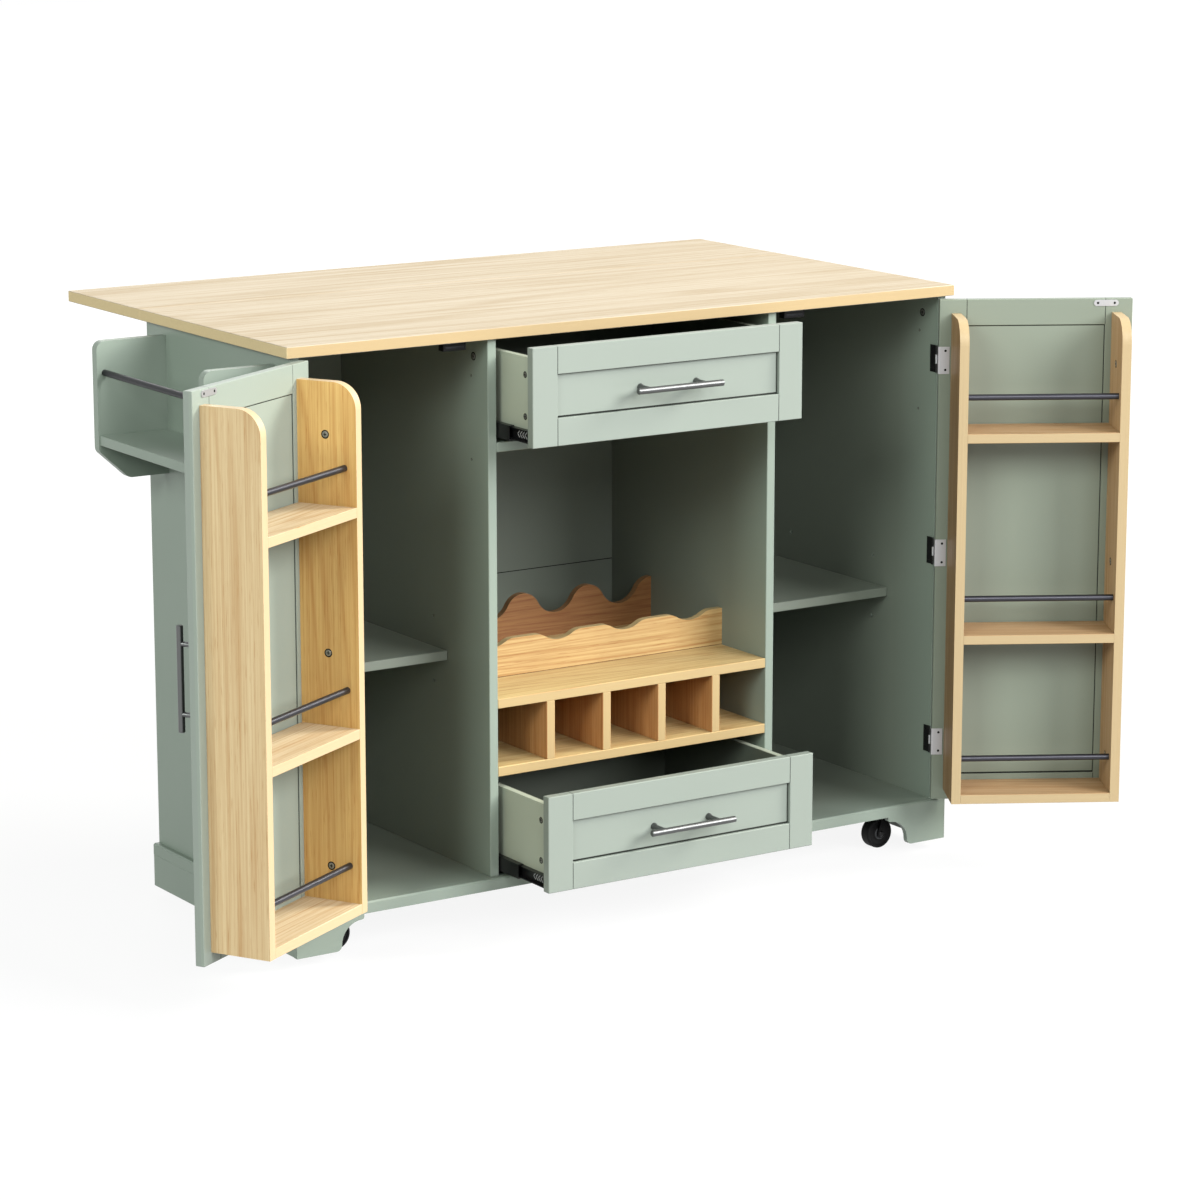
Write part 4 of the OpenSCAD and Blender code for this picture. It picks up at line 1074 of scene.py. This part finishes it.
# %% Catch strips
CATCH_X, STRIP_HALF, STRIP_T, STRIP_DEEP, STRIP_EASE = 0.312, 0.016, 0.0014, 0.004, 0.0001
STRIP_SHARES = (0.3, 0.7)
catch_low, catch_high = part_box("magnetic_catches")
strips = []
for side in SIDES:
    for share in STRIP_SHARES:
        x, z = side * CATCH_X, catch_low.z + share * (catch_high.z - catch_low.z)
        strips.append(block((x - STRIP_HALF, catch_low.y - PROUD, z - STRIP_T),
                            (x + STRIP_HALF, catch_low.y + STRIP_DEEP, z + STRIP_T), STRIP_EASE))
strip_count = len(strips)
piece("catch_strips", joined(strips), spice_gunmetal, "cabinet")
print("catch strips:", strip_count)

# %% [markdown]
# ## Casters
#
# The wheels are nylon with a rubber tread, on an axle that is bolted through the fork.
# A dished cap covers each hub, and the axle ends in a domed nut on both sides. The nut
# is spun like the cap, but in six steps, which leaves it a hexagon.

# %% Caster hubs and nuts
HUB_R, HUB_STEPS = 0.0105, 36
HUB_OUTLINE = ((1, -0.0004), (0.9, 0.0003), (0.5, 0.0002), (0.3, 0))
NUT_R, NUT_RISE, NUT_OUT, NUT_SIDES = 0.0052, 0.003, 0.0125, 6
NUT_OUTLINE = ((1, 0), (1, 0.6), (0.7, 1), (0, 1))
CORNERS = ("fl", "fr", "bl", "br")
for corner in CORNERS:
    low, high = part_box(f"caster_wheel_{corner}")
    middle = (low + high) / 2
    hubs, nuts = [], []
    for way, hub_y in ((-1, low.y), (1, high.y)):
        cap = turned([(share * HUB_R, rise) for share, rise in HUB_OUTLINE], HUB_STEPS)
        hubs.append(moved(cap, facing((middle.x, hub_y, middle.z), (0, way, 0))))
        nut = turned(scaled(NUT_OUTLINE, NUT_R, NUT_RISE), NUT_SIDES)
        spot = (middle.x, middle.y + way * NUT_OUT, middle.z)
        nuts.append(moved(nut, facing(spot, (0, way, 0))))
    piece(f"wheel_hubs_{corner}", joined(hubs), wheel_grey, f"wheel_{corner}")
    piece(f"axle_nuts_{corner}", joined(nuts), black_steel, f"fork_{corner}")
print("caster corners:", len(CORNERS))

# %% [markdown]
# ## The camera
#
# The picture was taken from the front left, from about the height of a raised hand, with
# a long lens. The place, the turn and the lens were solved from the corners of the
# worktop, the doors and the feet. The lens isn't shifted, so the camera is dipped
# towards the island instead, and upright lines lean together very slightly.

# %% Camera
CAMERA_PLACE = (-3.3139, -5.1819, 1.7891)
CAMERA_TURN = math.radians(33.249)
CAMERA_DIP = math.radians(12.307)
LENS_MM = 118.2
SEES_TO = 60.0

camera = bpy.data.objects.new("camera", bpy.data.cameras.new("camera"))
bpy.context.scene.collection.objects.link(camera)
camera.location = CAMERA_PLACE
camera.rotation_euler = (math.radians(90) - CAMERA_DIP, 0, -CAMERA_TURN)
camera.data.lens = LENS_MM
camera.data.clip_end = SEES_TO
bpy.context.scene.camera = camera
print("camera at", CAMERA_PLACE, "lens", LENS_MM, "mm")

# %% [markdown]
# ## Floor and sky
#
# The studio is white. The floor and the sky show white to the camera, and to metal and
# glass, without putting more light on the island: a Light Path node tells a ray that
# looks from a ray that lights. Near the island the floor keeps a little of its own
# shading, so that a faint shadow still ties the island to the ground.

# %% The floor's finish
FLOOR_GREY = (0.30, 0.30, 0.30, 1)
SHADOW_HINT = (0.075, 0.075, 0.075, 1)
SHOWN_WHITE, FADE = 0.90, (1.6, 4.5)


def looking_ray(tree):
    """1 for a ray from the camera, a mirror or a glass, and 0 for one that lights."""
    path = add(tree, "ShaderNodeLightPath")
    seen = calc(tree, "ADD", path.outputs["Is Camera Ray"], path.outputs["Is Glossy Ray"])
    return calc(tree, "ADD", seen, path.outputs["Is Transmission Ray"], clamp=True)


def studio_white():
    """A plain floor for rays that light, and a glowing one with a faint shadow to look at."""
    made, tree, shader = new_finish("studio_white", Base_Color=FLOOR_GREY, Roughness=1.0)
    away = add(tree, "ShaderNodeVectorMath", {"operation": "LENGTH"})
    put(tree, away.inputs[0], add(tree, "ShaderNodeTexCoord").outputs["Object"])
    shown = ranged(tree, away.outputs["Value"], FADE, SHOWN_WHITE, 1.0)
    glow = add(tree, "ShaderNodeEmission", Color=(1, 1, 1, 1), Strength=shown)
    hint = add(tree, "ShaderNodeBsdfDiffuse", Color=SHADOW_HINT)
    looked_at = add(tree, "ShaderNodeAddShader")
    tree.links.new(glow.outputs[0], looked_at.inputs[0])
    tree.links.new(hint.outputs[0], looked_at.inputs[1])
    mixed = add(tree, "ShaderNodeMixShader", Fac=looking_ray(tree))
    tree.links.new(shader.outputs[0], mixed.inputs[1])
    tree.links.new(looked_at.outputs[0], mixed.inputs[2])
    tree.links.new(mixed.outputs[0], tree.nodes["Material Output"].inputs["Surface"])
    return made


print("floor white shown to the camera:", SHOWN_WHITE)

# %% Floor and sky
FLOOR_SIZE, AMBIENT = 40.0, 0.01
floor_shape = bmesh.new()
bmesh.ops.create_grid(floor_shape, x_segments=1, y_segments=1, size=FLOOR_SIZE / 2)
floor_mesh = bpy.data.meshes.new("studio_floor")
floor_shape.to_mesh(floor_mesh)
floor_shape.free()
floor_mesh.materials.append(studio_white())
floor = bpy.data.objects.new("studio_floor", floor_mesh)
bpy.context.scene.collection.objects.link(floor)

sky = bpy.data.worlds.new("studio_sky")
bpy.context.scene.world = sky
sky.use_nodes = True
backdrop = sky.node_tree.nodes["Background"]
backdrop.inputs["Color"].default_value = (1, 1, 1, 1)
shown = ranged(sky.node_tree, looking_ray(sky.node_tree), low=AMBIENT)
sky.node_tree.links.new(shown, backdrop.inputs["Strength"])
print("floor", FLOOR_SIZE, "m, ambient", AMBIENT)

# %% [markdown]
# ## Lamps
#
# The light in the picture is found from the shadows and from how bright each way of
# facing is. The drawer handles throw soft shadows down and to the left, so the key is a
# large softbox to the right of the camera and about thirty degrees up. A stronger one
# stands far round to the right, where it reaches into the left door's rack, and a weak
# one in front opens the shadows. The faces turned left are about half as bright as the
# fronts, so weaker lamps stand on that side, and two of them are slightly green where
# the right one is slightly warm. The inside is dark, so there is almost no light from
# all round.
# All the lamps stand far off, because a near one lights the worktop more than the feet.
# Each is given by how far round from the doors it stands, how far up, its power, its
# size and its colour.

# %% Softboxes
ISLAND_MIDDLE = Vector((0, 0, 0.5))
LAMP_AWAY = 18.0
WHITE, COOL, WARM = (1.0, 1.0, 1.0), (0.93, 1.0, 0.94), (1.0, 0.99, 0.90)
# Degrees round from the doors, degrees up, power in watts, size in metres, and colour.
LAMPS = {
    "key_softbox": (25, 27, 4600, 9.0, WHITE),
    "right_softbox": (70, 30, 5900, 5.7, WARM),
    "front_softbox": (-15, 28, 1350, 7.0, WHITE),
    "left_softbox": (-61, 27, 1800, 5.7, COOL),
    "side_fill": (-95, 20, 950, 5.7, COOL),
    "rear_fill": (160, 40, 900, 5.7, WHITE),
}
for name, (round_deg, up_deg, power, size, colour) in LAMPS.items():
    turn, rise = math.radians(round_deg), math.radians(up_deg)
    level = Vector((math.sin(turn), -math.cos(turn), 0))
    away = math.cos(rise) * level + math.sin(rise) * Vector(ALONG_Z)
    lamp = bpy.data.objects.new(name, bpy.data.lights.new(name, "AREA"))
    lamp.data.size = size
    lamp.data.energy = power
    lamp.data.color = colour
    lamp.location = ISLAND_MIDDLE + LAMP_AWAY * away
    lamp.rotation_euler = (-away).to_track_quat("-Z", "Y").to_euler()
    bpy.context.scene.collection.objects.link(lamp)
    print(name, [round(c, 2) for c in lamp.location], power, "W")

# %% [markdown]
# ## The view transform
#
# The view transform is Standard, so that white stays white.

# %% Finish
bpy.context.scene.view_settings.view_transform = "Standard"
